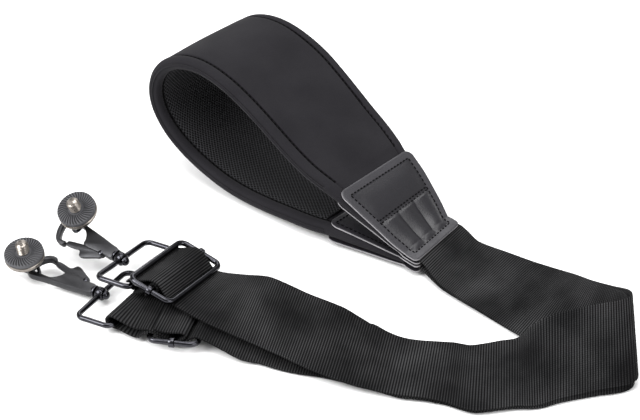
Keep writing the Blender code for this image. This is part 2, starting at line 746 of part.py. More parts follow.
def build():
    """Build the whole strap."""
    clear_scene()
    build_pad()
    build_patch("upper_patch_outer", True, True)
    build_patch("upper_patch_inner", True, False)
    build_patch("lower_patch_inner", False, False)
    build_patch("lower_patch_outer", False, True)
    build_webbing()
    build_slider("front", SLIDER_FRONT)
    build_slider("rear", SLIDER_REAR)
    for tag in ("front", "rear"):
        build_ring(tag)
        build_hook(tag)
        build_adapter(tag)
    centre_on_table()


build()
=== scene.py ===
"""Camera neck strap on a pale table: the dressed pieces that stand over its CAD frame.

Routes and outlines are in layout millimetres, the frame in which the strap was laid out round a
point of the table near its middle. Each mesh is moved to the world, in metres, when it is made.
"""
from __future__ import annotations

import logging
import math
import sys
from dataclasses import dataclass, field
from enum import Enum
from typing import Any, ClassVar, Optional, Sequence

import bmesh
import bpy
from mathutils import Matrix, Vector, noise

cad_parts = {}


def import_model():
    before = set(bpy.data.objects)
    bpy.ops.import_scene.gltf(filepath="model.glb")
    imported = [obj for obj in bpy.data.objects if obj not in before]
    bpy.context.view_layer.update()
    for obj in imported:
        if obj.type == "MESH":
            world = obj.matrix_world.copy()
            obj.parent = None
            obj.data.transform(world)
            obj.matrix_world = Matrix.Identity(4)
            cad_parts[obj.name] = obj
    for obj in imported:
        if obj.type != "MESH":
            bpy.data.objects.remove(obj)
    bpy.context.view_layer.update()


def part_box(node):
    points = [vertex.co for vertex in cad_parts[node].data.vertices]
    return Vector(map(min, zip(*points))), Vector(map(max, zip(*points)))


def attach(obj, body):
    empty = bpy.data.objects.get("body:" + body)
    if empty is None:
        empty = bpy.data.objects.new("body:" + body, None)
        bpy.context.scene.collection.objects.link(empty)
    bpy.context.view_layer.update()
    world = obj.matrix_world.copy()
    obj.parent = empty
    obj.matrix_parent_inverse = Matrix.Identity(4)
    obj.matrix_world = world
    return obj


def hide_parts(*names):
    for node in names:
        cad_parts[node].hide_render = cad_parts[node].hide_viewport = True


MM = 0.001
WELD = 0.002
LOG = logging.getLogger("neck_strap")

Pair = tuple[float, float]
Station = tuple[Vector, Vector]

# Mid line of the pad from its upper end round the fold to its lower end: distance from the end
# along the pad, height, thickness, half width, turn of the width, lining, shift along the width
PAD_ROWS = [
    (9.5, 7.7, 1.0, 19.4, 8, 0, 0.0),
    (16, 10.6, 1.6, 21.6, 7, 0, 0.9),
    (24, 15.2, 2.9, 23.2, 5, 0, 1.2),
    (33, 20.6, 4.4, 25.0, 3, 0, 1.2),
    (41, 25.4, 5.6, 26.2, 2, 0, 0.8),
    (47.5, 29.2, 6.3, 27.6, 1, 0, 0.6),
    (51, 31.2, 6.4, 28.5, 0, 1, 0.5),
    (60, 36.2, 6.5, 30.4, 0, 1, 0.2),
    (70, 41.8, 6.5, 31.2, 0, 1, 0.3),
    (80, 47.8, 6.5, 31.7, 0, 1, 0.7),
    (90, 53.8, 6.5, 32.1, 0, 1, 1.1),
    (101, 59.7, 6.5, 32.5, 0, 1, 1.5),
    (112, 64.4, 6.5, 32.5, 0, 1, 1.5),
    (124, 67.4, 6.5, 32.5, 0, 1, 1.5),
    (135, 67.6, 6.5, 32.5, 0, 1, 1.5),
    (145.5, 65.0, 6.5, 32.5, 0, 1, 1.5),
    (154, 59.7, 6.5, 32.3, 0, 1, 1.6),
    (160.2, 51.4, 6.5, 32.0, 0, 1, 1.8),
    (162.4, 41.5, 6.5, 31.8, 0, 1, 2.0),
    (160, 32.0, 6.5, 31.6, 0, 1, 2.2),
    (153, 22.8, 6.5, 31.4, 0, 1, 2.4),
    (142.5, 15.4, 6.5, 31.2, 0, 1, 2.6),
    (129.5, 9.8, 6.5, 31.0, 0, 1, 2.6),
    (116.5, 6.5, 6.5, 31.0, 0, 1, 2.4),
    (104, 5.1, 6.5, 31.0, 0, 1, 2.2),
    (90, 5.0, 6.5, 31.0, 0, 1, 2.0),
    (75, 5.8, 6.5, 31.0, 0, 1, 1.8),
    (60, 6.6, 6.5, 30.4, 0, 1, 1.4),
    (51, 6.6, 6.4, 28.2, 0, 1, 1.0),
    (47.5, 6.4, 6.3, 27.2, 1, 0, 0.8),
    (41, 5.8, 5.6, 26.0, 2, 0, 1.0),
    (33, 5.1, 4.4, 24.6, 3, 0, 1.2),
    (24, 4.4, 3.0, 23.0, 5, 0, 1.2),
    (16, 3.8, 1.8, 21.4, 7, 0, 0.9),
    (9.5, 3.6, 1.0, 19.4, 8, 0, 0.0),
]
PAD_HEADING = -41.2
PAD_END = Vector((57.7, -42.8, 0.0))

# Middle of the two webbings where they run together: x, y, z, heading of the width, rise of the
# width, distance between them, sideways slip of the upper one
STACK_ROWS = [
    (53.6, -39.2, 5.65, 58, 0, 4.1, 0.0),
    (57.9, -42.6, 5.60, 58, 0, 4.0, 0.0),
    (62.0, -48.6, 4.7, 58, 2, 3.0, 0.0),
    (66.5, -55.7, 4.1, 58, 4, 2.2, 0.0),
    (77.0, -67.4, 5.4, 51, 10, 1.5, 0.0),
    (87.1, -78.5, 6.8, 45, 15, 1.5, 0.0),
    (96.5, -89.5, 8.6, 38, 24, 1.5, 0.0),
    (106.0, -102.9, 11.9, 38, 36, 1.5, 0.2),
    (116.5, -116.2, 14.8, 46, 46, 1.5, 0.5),
    (126.5, -126.2, 17.2, 60, 56, 1.5, 1.0),
    (134.6, -132.6, 19.2, 80, 62, 1.6, 1.6),
    (138.9, -137.0, 20.3, 102, 67, 1.8, 2.4),
    (137.2, -140.4, 19.8, 98, 62, 1.8, 2.8),
    (132.0, -142.0, 18.9, 93, 57, 1.6, 3.0),
    (124.2, -143.4, 18.4, 90, 55, 1.5, 2.8),
    (114.6, -146.0, 17.8, 90, 54, 1.5, 2.4),
    (105.6, -148.4, 16.9, 89, 51, 1.5, 2.0),
    (98.4, -149.2, 14.0, 90, 41, 1.5, 1.4),
    (93.4, -148.8, 10.9, 89, 30, 1.5, 0.8),
    (88.0, -147.6, 7.2, 87, 17, 1.5, 0.4),
    (79.7, -149.2, 6.9, 87, 16, 1.5, 0.0),
    (70.5, -151.2, 6.7, 85, 15, 1.5, 0.0),
    (65.3, -149.6, 5.8, 84, 12, 1.5, 0.0),
    (57.9, -144.6, 4.6, 82, 9, 1.5, 0.0),
    (46.9, -141.2, 3.9, 81, 6, 1.5, 0.0),
    (38.5, -139.8, 3.9, 80, 6, 1.5, 0.0),
    (30.9, -137.7, 4.3, 79, 7, 1.7, -1.4),
    (19.4, -133.9, 6.0, 77, 12, 2.5, -2.8),
]

# Each webbing alone, between the shared run and its slider: x, y, z, heading, rise of the width
LOWER_RUN = [
    (11.9, -131.2, 9.4, 75, 16),
    (5.9, -128.6, 11.1, 74, 19),
    (-1.4, -124.6, 11.9, 73, 19),
    (-10.6, -118.9, 12.8, 73, 17),
    (-20.4, -112.6, 13.8, 73, 18),
    (-28.9, -107.1, 14.3, 72, 17),
    (-36.8, -101.4, 13.0, 71, 11),
    (-46.0, -94.2, 11.4, 66, 4),
]
UPPER_RUN = [
    (4.5, -123.9, 3.6, 77, 8),
    (-5.6, -121.2, 3.4, 77, 8),
    (-15.0, -117.6, 3.4, 76, 8),
    (-23.3, -113.7, 3.5, 76, 7),
    (-31.0, -112.2, 3.7, 76, 5),
    (-39.0, -107.6, 4.8, 76, 3),
]

# Side views of a webbing in its slider: along the strap, above the slider
SLIDER_IN = [
    (-11.4, -2.15), (-6.5, 0.1), (-2.6, 2.95), (0, 3.3), (2.8, 2.8), (6.3, 0.5), (9.8, -1.9),
]
LOWER_DOWN = [(12.2, -2.7), (13.9, -5.0)]
LOWER_OUT = [
    (9.2, -9.1), (5.6, -6.2), (3.3, -3.0), (2.2, -0.2), (1.5, 1.3), (0, 1.9), (-1.5, 1.2),
    (-1.95, -0.3), (-1.2, -1.9), (0.6, -3.6), (3.0, -6.2),
]
UPPER_DOWN = [(11.9, 2.2), (14.0, 1.5), (17.6, -1.4)]
UPPER_FOLD = [
    (-12.5, -2.2), (-9.3, -2.07), (-6.6, -1.7), (-5.2, -0.2), (-5.1, 1.5), (-6.3, 3.0),
    (-9.2, 3.6),
]
UPPER_OUT = [
    (18, 3.5), (12.6, 3.6), (9, 2.6), (6, 1.2), (3, -0.9), (1.2, -1.75), (-0.8, -1.75),
    (-2.9, -0.6), (-5.0, 0.9), (-5.7, 2.2), (-4.9, 3.3), (-3.0, 3.6), (0, 3.3), (4, 3.1),
    (7, 3.6), (9.4, 4.3),
]

# Outlines of a hook: along it from its flange, towards the gate
HOOK_PLATE = [
    (1.0, -2.6), (6, -3.2), (12, -3.6), (18, -3.8), (26, -4.0), (32.2, -4.4), (34.6, -4.3),
    (36.6, -3.0), (37.7, -0.9), (37.6, 1.8), (37.0, 4.4), (35.9, 7.0), (34.2, 9.3), (32.0, 10.7),
    (29.8, 10.9), (27.9, 10.2), (28.1, 8.2), (29.9, 8.5), (31.4, 8.3), (32.8, 7.2), (34.0, 5.4),
    (34.8, 3.2), (35.1, 1.2), (34.9, -0.3), (33.8, -1.2), (30.0, -1.6), (26.0, -1.9), (24.0, -1.7),
    (21.6, -0.2), (19.8, 2.0), (18.6, 4.6), (12, 4.3), (6, 3.3), (1.0, 2.6),
]
HOOK_GATE = [
    (6.4, 1.6), (12, 2.4), (17.0, 3.9), (22, 5.3), (26.6, 6.8), (27.4, 7.7), (27.0, 9.3),
    (23.3, 8.9), (19.6, 7.9), (18.0, 8.6), (16.8, 10.3), (14.6, 10.1), (12.0, 8.6), (8.6, 6.6),
    (6.9, 5.6), (6.4, 4.4),
]


def linear(hex_colour: str) -> tuple[float, float, float, float]:
    """Turn an sRGB hex colour to linear.

    Args:
        hex_colour: Six hex digits after a number sign.

    Returns:
        Red, green, blue and a full alpha, for a shader socket.
    """
    parts = [int(hex_colour[i:i + 2], 16) / 255 for i in (1, 3, 5)]
    red, green, blue = [c / 12.92 if c <= 0.04045 else ((c + 0.055) / 1.055) ** 2.4 for c in parts]
    return red, green, blue, 1.0


def add_node(
    tree: bpy.types.NodeTree, kind: str, inputs: dict[Any, Any], **settings: Any
) -> bpy.types.Node:
    """Add a node with its settings and links.

    Args:
        tree: The node tree of a material.
        kind: Blender's name of the node type.
        inputs: A value for each named or numbered socket, or the socket that feeds it.
        settings: Values of the node's own properties.

    Returns:
        The new node.
    """
    node = tree.nodes.new(kind)
    for name, value in settings.items():
        setattr(node, name, value)
    for name, value in inputs.items():
        if isinstance(value, bpy.types.NodeSocket):
            tree.links.new(value, node.inputs[name])
        else:
            node.inputs[name].default_value = value
    return node


def calc(tree: bpy.types.NodeTree, operation: str, *values: Any) -> bpy.types.NodeSocket:
    """Do a sum on numbers and sockets, and give its result's socket."""
    inputs = dict(enumerate(values))
    return add_node(tree, "ShaderNodeMath", inputs, operation=operation).outputs[0]


def remap(
    tree: bpy.types.NodeTree, value: bpy.types.NodeSocket, low: Any, high: Any, start: float = 0.0,
    end: float = 1.0,
) -> bpy.types.NodeSocket:
    """Map a value that runs from low to high so that it runs from start to end."""
    inputs = {0: value, 1: low, 2: high, 3: start, 4: end}
    return add_node(tree, "ShaderNodeMapRange", inputs).outputs[0]


def tint(
    tree: bpy.types.NodeTree, share: bpy.types.NodeSocket, first: Any, second: Any
) -> bpy.types.NodeSocket:
    """Mix two colours.

    Args:
        tree: The node tree of a material.
        share: How much of the second colour there is, from 0 to 1.
        first: A linear colour or its socket.
        second: A linear colour or its socket.

    Returns:
        The socket of the mixed colour.
    """
    return add_node(
        tree, "ShaderNodeMix", {0: share, 6: first, 7: second}, data_type="RGBA"
    ).outputs[2]


def raised(
    tree: bpy.types.NodeTree, height: bpy.types.NodeSocket, relief: float, strength: float = 1.0
) -> bpy.types.NodeSocket:
    """Turn a height from 0 to 1 to a normal, for a relief in millimetres."""
    inputs = {"Strength": strength, "Distance": relief * MM, "Height": height}
    return add_node(tree, "ShaderNodeBump", inputs).outputs[0]


def cloth_axes(tree: bpy.types.NodeTree) -> tuple[bpy.types.NodeSocket, ...]:
    """Read a mesh's cloth coordinates, in millimetres.

    Args:
        tree: The node tree of a material.

    Returns:
        The sockets of both together, the first one and the second one.
    """
    place = add_node(tree, "ShaderNodeUVMap", {}, uv_map="cloth").outputs[0]
    axes = add_node(tree, "ShaderNodeSeparateXYZ", {0: place})
    return place, axes.outputs[0], axes.outputs[1]


def spline(points: Sequence[Vector], steps: int, closed: bool = False) -> list[Vector]:
    """Pass a smooth curve through points.

    Args:
        points: Vectors of any one length.
        steps: Points for each span.
        closed: Whether the curve returns to its start.

    Returns:
        The dense points, with the last one given once.
    """
    out: list[Vector] = []
    count = len(points)
    last = count - 1
    for i in range(count if closed else last):
        p0 = points[(i - 1) % count] if closed else points[max(i - 1, 0)]
        p1 = points[i]
        p2 = points[(i + 1) % count]
        p3 = points[(i + 2) % count] if closed else points[min(i + 2, last)]
        d01 = max((p1 - p0).length, 1e-6) ** 0.5
        d12 = max((p2 - p1).length, 1e-6) ** 0.5
        d23 = max((p3 - p2).length, 1e-6) ** 0.5
        m1 = (p2 - p0) / (d01 + d12) * d12 if closed or i > 0 else (p2 - p1)
        m2 = (p3 - p1) / (d12 + d23) * d12 if closed or i < last - 1 else (p2 - p1)
        for s in range(steps):
            t = s / steps
            h1 = 2 * t ** 3 - 3 * t ** 2 + 1
            h2 = t ** 3 - 2 * t ** 2 + t
            h3 = 3 * t ** 2 - 2 * t ** 3
            h4 = t ** 3 - t ** 2
            out.append(p1 * h1 + m1 * h2 + p2 * h3 + m2 * h4)
    if not closed:
        out.append(points[last].copy())
    return out


def direction(heading: float, rise: float = 0.0) -> Vector:
    """Give a unit vector.

    Args:
        heading: Degrees round from the x axis.
        rise: Degrees above the table.

    Returns:
        The vector.
    """
    a = math.radians(heading)
    b = math.radians(rise)
    return Vector((math.cos(a) * math.cos(b), math.sin(a) * math.cos(b), math.sin(b)))


def smooth_run(stations: Sequence[Station], steps: int) -> list[Station]:
    """Smooth a list of stations.

    Args:
        stations: Centres with their width directions.
        steps: Stations for each span.

    Returns:
        The dense stations.
    """
    rows = [Vector((*centre, *(across * 20))) for centre, across in stations]
    return [(Vector(r[:3]), Vector(r[3:6]).normalized()) for r in spline(rows, steps)]


def inset(outline: Sequence[Pair], depth: float) -> list[Pair]:
    """Move a closed outline inwards.

    Args:
        outline: The corners in order.
        depth: How far each one moves.

    Returns:
        The new corners.
    """
    count = len(outline)
    area = sum(
        outline[i][0] * outline[(i + 1) % count][1] - outline[(i + 1) % count][0] * outline[i][1]
        for i in range(count)
    )
    sign = 1.0 if area > 0 else -1.0
    out: list[Pair] = []
    for i in range(count):
        x, y = outline[i]
        before = outline[i - 1]
        after = outline[(i + 1) % count]
        tangent = Vector((after[0] - before[0], after[1] - before[1])).normalized()
        out.append((x - tangent.y * depth * sign, y + tangent.x * depth * sign))
    return out


@dataclass(frozen=True)
class Finish:
    """A real surface: what it is made of and how it takes the light."""

    name: str
    colour: str
    roughness: float
    metallic: float = 0.0
    ior: float = 1.5
    sheen: float = 0.0
    specular: float = 0.5

    def pattern(self, tree: bpy.types.NodeTree) -> dict[str, Any]:
        """Give the sockets that a pattern feeds; a plain surface has none."""
        return {}

    def material(self) -> bpy.types.Material:
        """Make the material once.

        Returns:
            The material, with the surface's fixed values on the shader's own sockets.
        """
        found = bpy.data.materials.get(self.name)
        if found:
            return found
        made = bpy.data.materials.new(self.name)
        made.use_nodes = True
        tree = made.node_tree
        tree.nodes.clear()
        values: dict[str, Any] = {
            "Base Color": linear(self.colour),
            "Roughness": self.roughness,
            "Metallic": self.metallic,
            "IOR": self.ior,
            "Sheen Weight": self.sheen,
            "Specular IOR Level": self.specular,
        }
        values.update(self.pattern(tree))
        shader = add_node(tree, "ShaderNodeBsdfPrincipled", values)
        add_node(tree, "ShaderNodeOutputMaterial", {"Surface": shader.outputs[0]})
        made.diffuse_color = linear(self.colour)
        return made


@dataclass(frozen=True)
class WovenNylon(Finish):
    """Black nylon webbing: flat weft ribs across it, crossed by fine warp yarns."""

    groove_shade: str = "#050506"
    rib: float = 1.25
    warp: float = 0.95
    relief: float = 0.4
    warp_low: float = 0.72
    wear_scale: float = 0.035
    wear: float = 0.12

    def pattern(self, tree: bpy.types.NodeTree) -> dict[str, Any]:
        """Draw the ribs in cloth millimetres, with a painted highlight on their tops and painted
        shade in their grooves, and wear in patches some 30 mm wide.

        Args:
            tree: The node tree of the material.

        Returns:
            The sockets that feed the shader, by the names of its inputs.
        """
        place, along, across = cloth_axes(tree)
        waves = []
        for axis, pitch in ((along, self.rib), (across, self.warp)):
            turn = calc(tree, "MULTIPLY", axis, math.pi / pitch)
            waves.append(calc(tree, "ABSOLUTE", calc(tree, "SINE", turn)))
        height = calc(tree, "MULTIPLY", waves[0], remap(tree, waves[1], 0.0, 1.0, self.warp_low))
        noise_values = {"Vector": place, "Scale": self.wear_scale, "Detail": 3.0}
        worn = add_node(tree, "ShaderNodeTexNoise", noise_values).outputs[0]
        shade = calc(tree, "MULTIPLY_ADD", height, worn, -self.wear)
        spread = remap(tree, shade, 0.1, 0.72)
        return {
            # Painted shade in the grooves, painted highlight on the rib tops.
            "Base Color": tint(tree, spread, linear(self.groove_shade), linear(self.colour)),
            "Normal": raised(tree, height, self.relief),
        }


@dataclass(frozen=True)
class SpacerKnit(Finish):
    """Black air mesh: open holes in slanting rows between raised threads."""

    hole_shade: str = "#060607"
    along: float = 2.4
    across: float = 1.8
    relief: float = 0.5

    def pattern(self, tree: bpy.types.NodeTree) -> dict[str, Any]:
        """Draw the holes where two slanting waves meet, in cloth millimetres, with painted shade in
        them.

        Args:
            tree: The node tree of the material.

        Returns:
            The sockets that feed the shader, by the names of its inputs.
        """
        _, along, across = cloth_axes(tree)
        first = calc(tree, "MULTIPLY", along, math.pi / self.along)
        second = calc(tree, "MULTIPLY", across, math.pi / self.across)
        rising = calc(tree, "SINE", calc(tree, "ADD", first, second))
        falling = calc(tree, "SINE", calc(tree, "SUBTRACT", first, second))
        depth = calc(tree, "ABSOLUTE", calc(tree, "MULTIPLY", rising, falling))
        thread = remap(tree, depth, 0.15, 0.7, 1.0, 0.0)
        return {
            # Painted shade in the holes between the threads.
            "Base Color": tint(tree, thread, linear(self.hole_shade), linear(self.colour)),
            "Normal": raised(tree, thread, self.relief, 0.9),
        }


@dataclass(frozen=True)
class Grained(Finish):
    """A surface with an all-over grain: knit, leather pebble, cast skin or moulded rubber."""

    shade: str = "#101010"
    grain: float = 0.6
    patch: float = 20.0
    relief: float = 0.05
    uneven: float = 0.06
    cells: bool = False

    def pattern(self, tree: bpy.types.NodeTree) -> dict[str, Any]:
        """Draw the grain in the piece's own space, with patches of a second tone.

        Args:
            tree: The node tree of the material.

        Returns:
            The sockets that feed the shader, by the names of its inputs.
        """
        space = add_node(tree, "ShaderNodeTexCoord", {}).outputs["Object"]
        kind = "ShaderNodeTexVoronoi" if self.cells else "ShaderNodeTexNoise"
        values = {"Vector": space, "Scale": 1.0 / (self.grain * MM)}
        if not self.cells:
            values["Detail"] = 2.0
        grain = add_node(tree, kind, values).outputs[0]
        values = {"Vector": space, "Scale": 1.0 / (self.patch * MM), "Detail": 3.0}
        broad = add_node(tree, "ShaderNodeTexNoise", values).outputs[0]
        blend = calc(tree, "ADD", broad, calc(tree, "MULTIPLY_ADD", grain, 0.45, 0.05))
        level = remap(tree, blend, 0.45, 1.0)
        smooth = self.roughness - self.uneven
        return {
            "Base Color": tint(tree, level, linear(self.colour), linear(self.shade)),
            "Roughness": remap(tree, broad, 0.3, 0.7, smooth, smooth + 2 * self.uneven),
            "Normal": raised(tree, grain, self.relief),
        }


@dataclass(frozen=True)
class RibbedRubber(Grained):
    """Moulded rubber with painted shade in the grooves between its ribs."""

    groove_shade: str = "#0d0d0e"

    def pattern(self, tree: bpy.types.NodeTree) -> dict[str, Any]:
        """Paint shade into the grooves, which the first cloth coordinate marks from 0 to 1.

        Args:
            tree: The node tree of the material.

        Returns:
            The sockets that feed the shader, by the names of its inputs.
        """
        values = super().pattern(tree)
        _, groove_shade, _ = cloth_axes(tree)
        # Painted shade: the grooves are darkened in the base colour.
        values["Base Color"] = tint(tree, groove_shade, values["Base Color"], linear(self.groove_shade))
        return values


# Nylon webbing, woven: each rib is painted as a soft grey line, its top paler as a painted
# highlight and its groove black with painted shade, so a strap lying flat reads as fine stripes
# across its width. The ribs count as 1.05 to 1.2 mm in the photograph and are drawn at 1.25 mm so
# that they show.
WEBBING = WovenNylon("woven_black_nylon", "#484849", 0.78, sheen=0.02, specular=0.05)
# Neoprene faced with jersey knit: dull, with a faint bloom where it turns away from the eye.
# The loops are about 0.35 mm and are drawn at 0.6 mm so that they show.
NEOPRENE = Grained(
    "jersey_faced_neoprene", "#222124", 0.85, sheen=0.03, specular=0.07, shade="#1b1a1d",
    grain=0.6, patch=26, relief=0.10,
)
# Polyester spacer mesh, knitted: darker than the face, since each hole swallows the light.
MESH = SpacerKnit("knitted_spacer_mesh", "#343436", 0.85, specular=0.1)
# Coated split leather, embossed: a soft gloss over a pebble of 0.7 mm.
LEATHER = Grained(
    "embossed_coated_leather", "#222125", 0.40, specular=0.45, shade="#19181c", grain=0.7,
    patch=14, relief=0.06, uneven=0.05, cells=True,
)
# The flat border of the top patch, pressed and left unpadded: rougher, and given a paler colour
# than the padded leather.
LEATHER_BORDER = Grained(
    "pressed_leather_border", "#353438", 0.52, specular=0.45, shade="#29282c", grain=0.6,
    patch=9, relief=0.08, cells=True,
)
# The same leather where the knife went through it: raw, pale and matt, a thin bright outline.
LEATHER_EDGE = Grained(
    "knife_cut_leather_edge", "#8f8d90", 0.70, shade="#6f6d70", grain=0.5, patch=6, relief=0.05
)
# Bonded nylon thread, twisted: near black, it reads as dark dashes in its pricked holes.
THREAD = Grained(
    "bonded_nylon_thread", "#0a0a0b", 0.75, specular=0.08, shade="#040405", grain=0.3, relief=0.04
)
# The jersey where a seam pulls it in: pressed flat, and painted darker as the shade that falls in
# the seam's groove, a dark line.
SEAM_SHADE = Grained(
    "jersey_with_painted_seam_shade", "#121113", 0.9, specular=0.03, shade="#0c0b0d", grain=0.5,
    patch=4, relief=0.10,
)
# Steel wire, black nickel plated: dark and glossy, it draws the lights as long thin lines.
WIRE = Grained(
    "black_nickel_plated_wire", "#424246", 0.18, metallic=1.0, shade="#323236", grain=1.5,
    patch=8, relief=0.004, uneven=0.04,
)
# Zinc, pressure cast and coated satin black: a broad soft shine with a slight orange peel.
CAST = Grained(
    "satin_black_cast_zinc", "#3b3b3d", 0.38, metallic=0.8, shade="#2e2e30", grain=0.8, patch=7,
    relief=0.02, uneven=0.06,
)
# Rubber, moulded: matt dark grey, with painted shade darkening the grooves between its ribs. The
# ribs are about 1.1 mm apart at the rim and are drawn at 1.6 mm so that they show.
RUBBER = RibbedRubber(
    "moulded_black_rubber", "#525255", 0.66, specular=0.25, shade="#464649", grain=0.9, patch=6,
    relief=0.03,
)
# Stainless steel, turned on a lathe: bright and warm beside the black. The discs carry one turned
# line round the rim.
STEEL = Grained(
    "lathe_turned_steel", "#9a938c", 0.30, metallic=1.0, shade="#75706b", grain=0.5, patch=3,
    relief=0.01, uneven=0.06,
)
# Matt sheet of pale board under the strap, rolled smooth.
BOARD = Finish("pale_matt_board", "#f6f6f6", 0.95)


class Draft:
    """Mesh drawn in layout millimetres, with a finish and cloth coordinates for each face.

    The shift is the layout's origin in the world. It is measured before the first mesh is made.
    """

    shift: ClassVar[Vector] = Vector((0.0, 0.0, 0.0))

    def __init__(self) -> None:
        """Start with no points."""
        self.points: list[Vector] = []
        self.faces: list[tuple[int, ...]] = []
        self.marks: list[list[Pair]] = []
        self.slots: list[int] = []

    def grid(
        self,
        rows: Sequence[Sequence[Vector]],
        marks: Optional[Sequence[Sequence[Pair]]] = None,
        slot: int = 0,
        closed: bool = False,
    ) -> None:
        """Join rows of points with four-sided faces.

        Args:
            rows: Rows of equal length.
            marks: Cloth coordinates of each point, in millimetres.
            slot: Which finish the faces take.
            closed: Whether the last column joins the first.
        """
        start = len(self.points)
        count = len(rows[0])
        for row in rows:
            self.points.extend(row)
        for i in range(len(rows) - 1):
            for k in range(count if closed else count - 1):
                n = (k + 1) % count
                corners = ((i, k), (i, n), (i + 1, n), (i + 1, k))
                self.faces.append(tuple(start + a * count + b for a, b in corners))
                self.marks.append([marks[a][b] if marks else (0.0, 0.0) for a, b in corners])
                self.slots.append(slot)

    def slab(
        self,
        top: Sequence[Sequence[Vector]],
        low: Sequence[Sequence[Vector]],
        marks: Sequence[Sequence[Pair]],
        edge_slot: int = 0,
        woven_sides: bool = False,
    ) -> None:
        """Join the two faces of a sheet and close its four edges.

        Args:
            top: Rows of points of one face.
            low: Rows of the other face.
            marks: Cloth coordinates of each point of a face.
            edge_slot: Which finish the edges take.
            woven_sides: Whether the pattern runs on over the long edges.
        """
        self.grid(top, marks)
        self.grid(low, marks)
        for end in (0, -1):
            self.grid([top[end], low[end]], slot=edge_slot)
        for edge in (0, -1):
            sides = [[row[edge] for row in top], [row[edge] for row in low]]
            line = [[row[edge] for row in marks]] * 2 if woven_sides else None
            self.grid(sides, line, edge_slot)

    def polygon(self, ring: Sequence[Vector], slot: int = 0) -> None:
        """Close a ring of points with one face.

        Args:
            ring: The points in order.
            slot: Which finish the face takes.
        """
        start = len(self.points)
        self.points.extend(ring)
        self.faces.append(tuple(range(start, start + len(ring))))
        self.marks.append([(0.0, 0.0)] * len(ring))
        self.slots.append(slot)

    def lathe(
        self,
        profile: Sequence[Pair],
        base: Vector,
        axis: Vector,
        sides: int = 32,
        slot: int = 0,
        loop: bool = False,
    ) -> None:
        """Turn a profile round an axis.

        Args:
            profile: Pairs of the distance along the axis and the radius, 0 at a pole.
            base: Where the axis starts.
            axis: Its unit direction.
            sides: Faces in one turn.
            slot: Which finish the faces take.
            loop: Whether the profile closes on itself, as a bored ring's does.
        """
        side = axis.orthogonal().normalized()
        other = axis.cross(side)
        rows = []
        for along, radius in list(profile) + ([profile[0]] if loop else []):
            row = []
            for k in range(sides):
                a = 2 * math.pi * k / sides
                spoke = side * math.cos(a) + other * math.sin(a)
                row.append(base + axis * along + spoke * radius)
            rows.append(row)
        self.grid(rows, slot=slot, closed=True)

    def tube(
        self,
        path: Sequence[Vector],
        radius: float,
        sides: int = 14,
        closed: bool = False,
        slot: int = 0,
    ) -> None:
        """Sweep a round wire along a path, with domed ends.

        Args:
            path: The points that it follows.
            radius: Radius of the wire.
            sides: Faces round it.
            closed: Whether it is a loop.
            slot: Which finish the faces take.
        """
        count = len(path)
        tangents = []
        for i in range(count):
            before = path[i - 1] if closed or i > 0 else path[i]
            after = path[(i + 1) % count] if closed or i < count - 1 else path[i]
            tangents.append((after - before).normalized())
        side = tangents[0].orthogonal().normalized()
        rows = []
        for i in range(count):
            side = (side - tangents[i] * side.dot(tangents[i])).normalized()
            other = tangents[i].cross(side)
            turns = [2 * math.pi * k / sides for k in range(sides)]
            spokes = [side * math.cos(a) + other * math.sin(a) for a in turns]
            sizes = [(0.0, radius)]
            if not closed and i == 0:
                sizes = [(-0.5 * radius, 0.0), (-0.35 * radius, radius * 0.72), (0.0, radius)]
            if not closed and i == count - 1:
                sizes = [(0.0, radius), (0.35 * radius, radius * 0.72), (0.5 * radius, 0.0)]
            for ahead, size in sizes:
                rows.append([path[i] + tangents[i] * ahead + s * size for s in spokes])
        if closed:
            rows.append(rows[0])
        self.grid(rows, slot=slot, closed=True)

    def plate(
        self,
        outline: Sequence[Pair],
        thick: float,
        bevel: float,
        base: Vector,
        u: Vector,
        v: Vector,
        slot: int = 0,
    ) -> None:
        """Lay a flat piece with rounded edges equally to both sides of its plane.

        Args:
            outline: Its corners in u and v.
            thick: Its thickness.
            bevel: How far its edges are rounded.
            base: The outline's origin.
            u: Direction of the first coordinate.
            v: Direction of the second one.
            slot: Which finish the faces take.
        """
        w = u.cross(v).normalized()
        half = thick / 2
        layers = [
            (-half, inset(outline, bevel)),
            (-half + bevel * 0.3, inset(outline, bevel * 0.3)),
            (-half + bevel, outline),
            (half - bevel, outline),
            (half - bevel * 0.3, inset(outline, bevel * 0.3)),
            (half, inset(outline, bevel)),
        ]
        rings = [[base + u * a + v * b + w * h for a, b in ring] for h, ring in layers]
        self.grid(rings, slot=slot, closed=True)
        self.polygon(rings[0], slot)
        self.polygon(rings[-1], slot)

    def stitches(
        self,
        path: Sequence[Vector],
        pitch: float,
        length: float,
        radius: float,
        slot: int = 0,
    ) -> int:
        """Lay a row of stitches along a path.

        Args:
            path: The line of the seam on the surface.
            pitch: Distance from stitch to stitch.
            length: Length of the thread that shows in each.
            radius: Radius of the thread.
            slot: Which finish the faces take.

        Returns:
            How many stitches were laid.
        """
        reach = [0.0]
        for a, b in zip(path, path[1:]):
            reach.append(reach[-1] + (b - a).length)
        total = max(1, round(reach[-1] / pitch))
        profile = [(-0.5, 0.0), (-0.42, 0.62), (-0.2, 1.0), (0.2, 1.0), (0.42, 0.62), (0.5, 0.0)]
        span = 0
        for n in range(total):
            at = (n + 0.5) * reach[-1] / total
            while span < len(path) - 2 and reach[span + 1] < at:
                span += 1
            part = (at - reach[span]) / max(reach[span + 1] - reach[span], 1e-6)
            centre = path[span].lerp(path[span + 1], part)
            axis = (path[span + 1] - path[span]).normalized()
            shape = [(along * length, size * radius) for along, size in profile]
            self.lathe(shape, centre, axis, 8, slot)
        return total

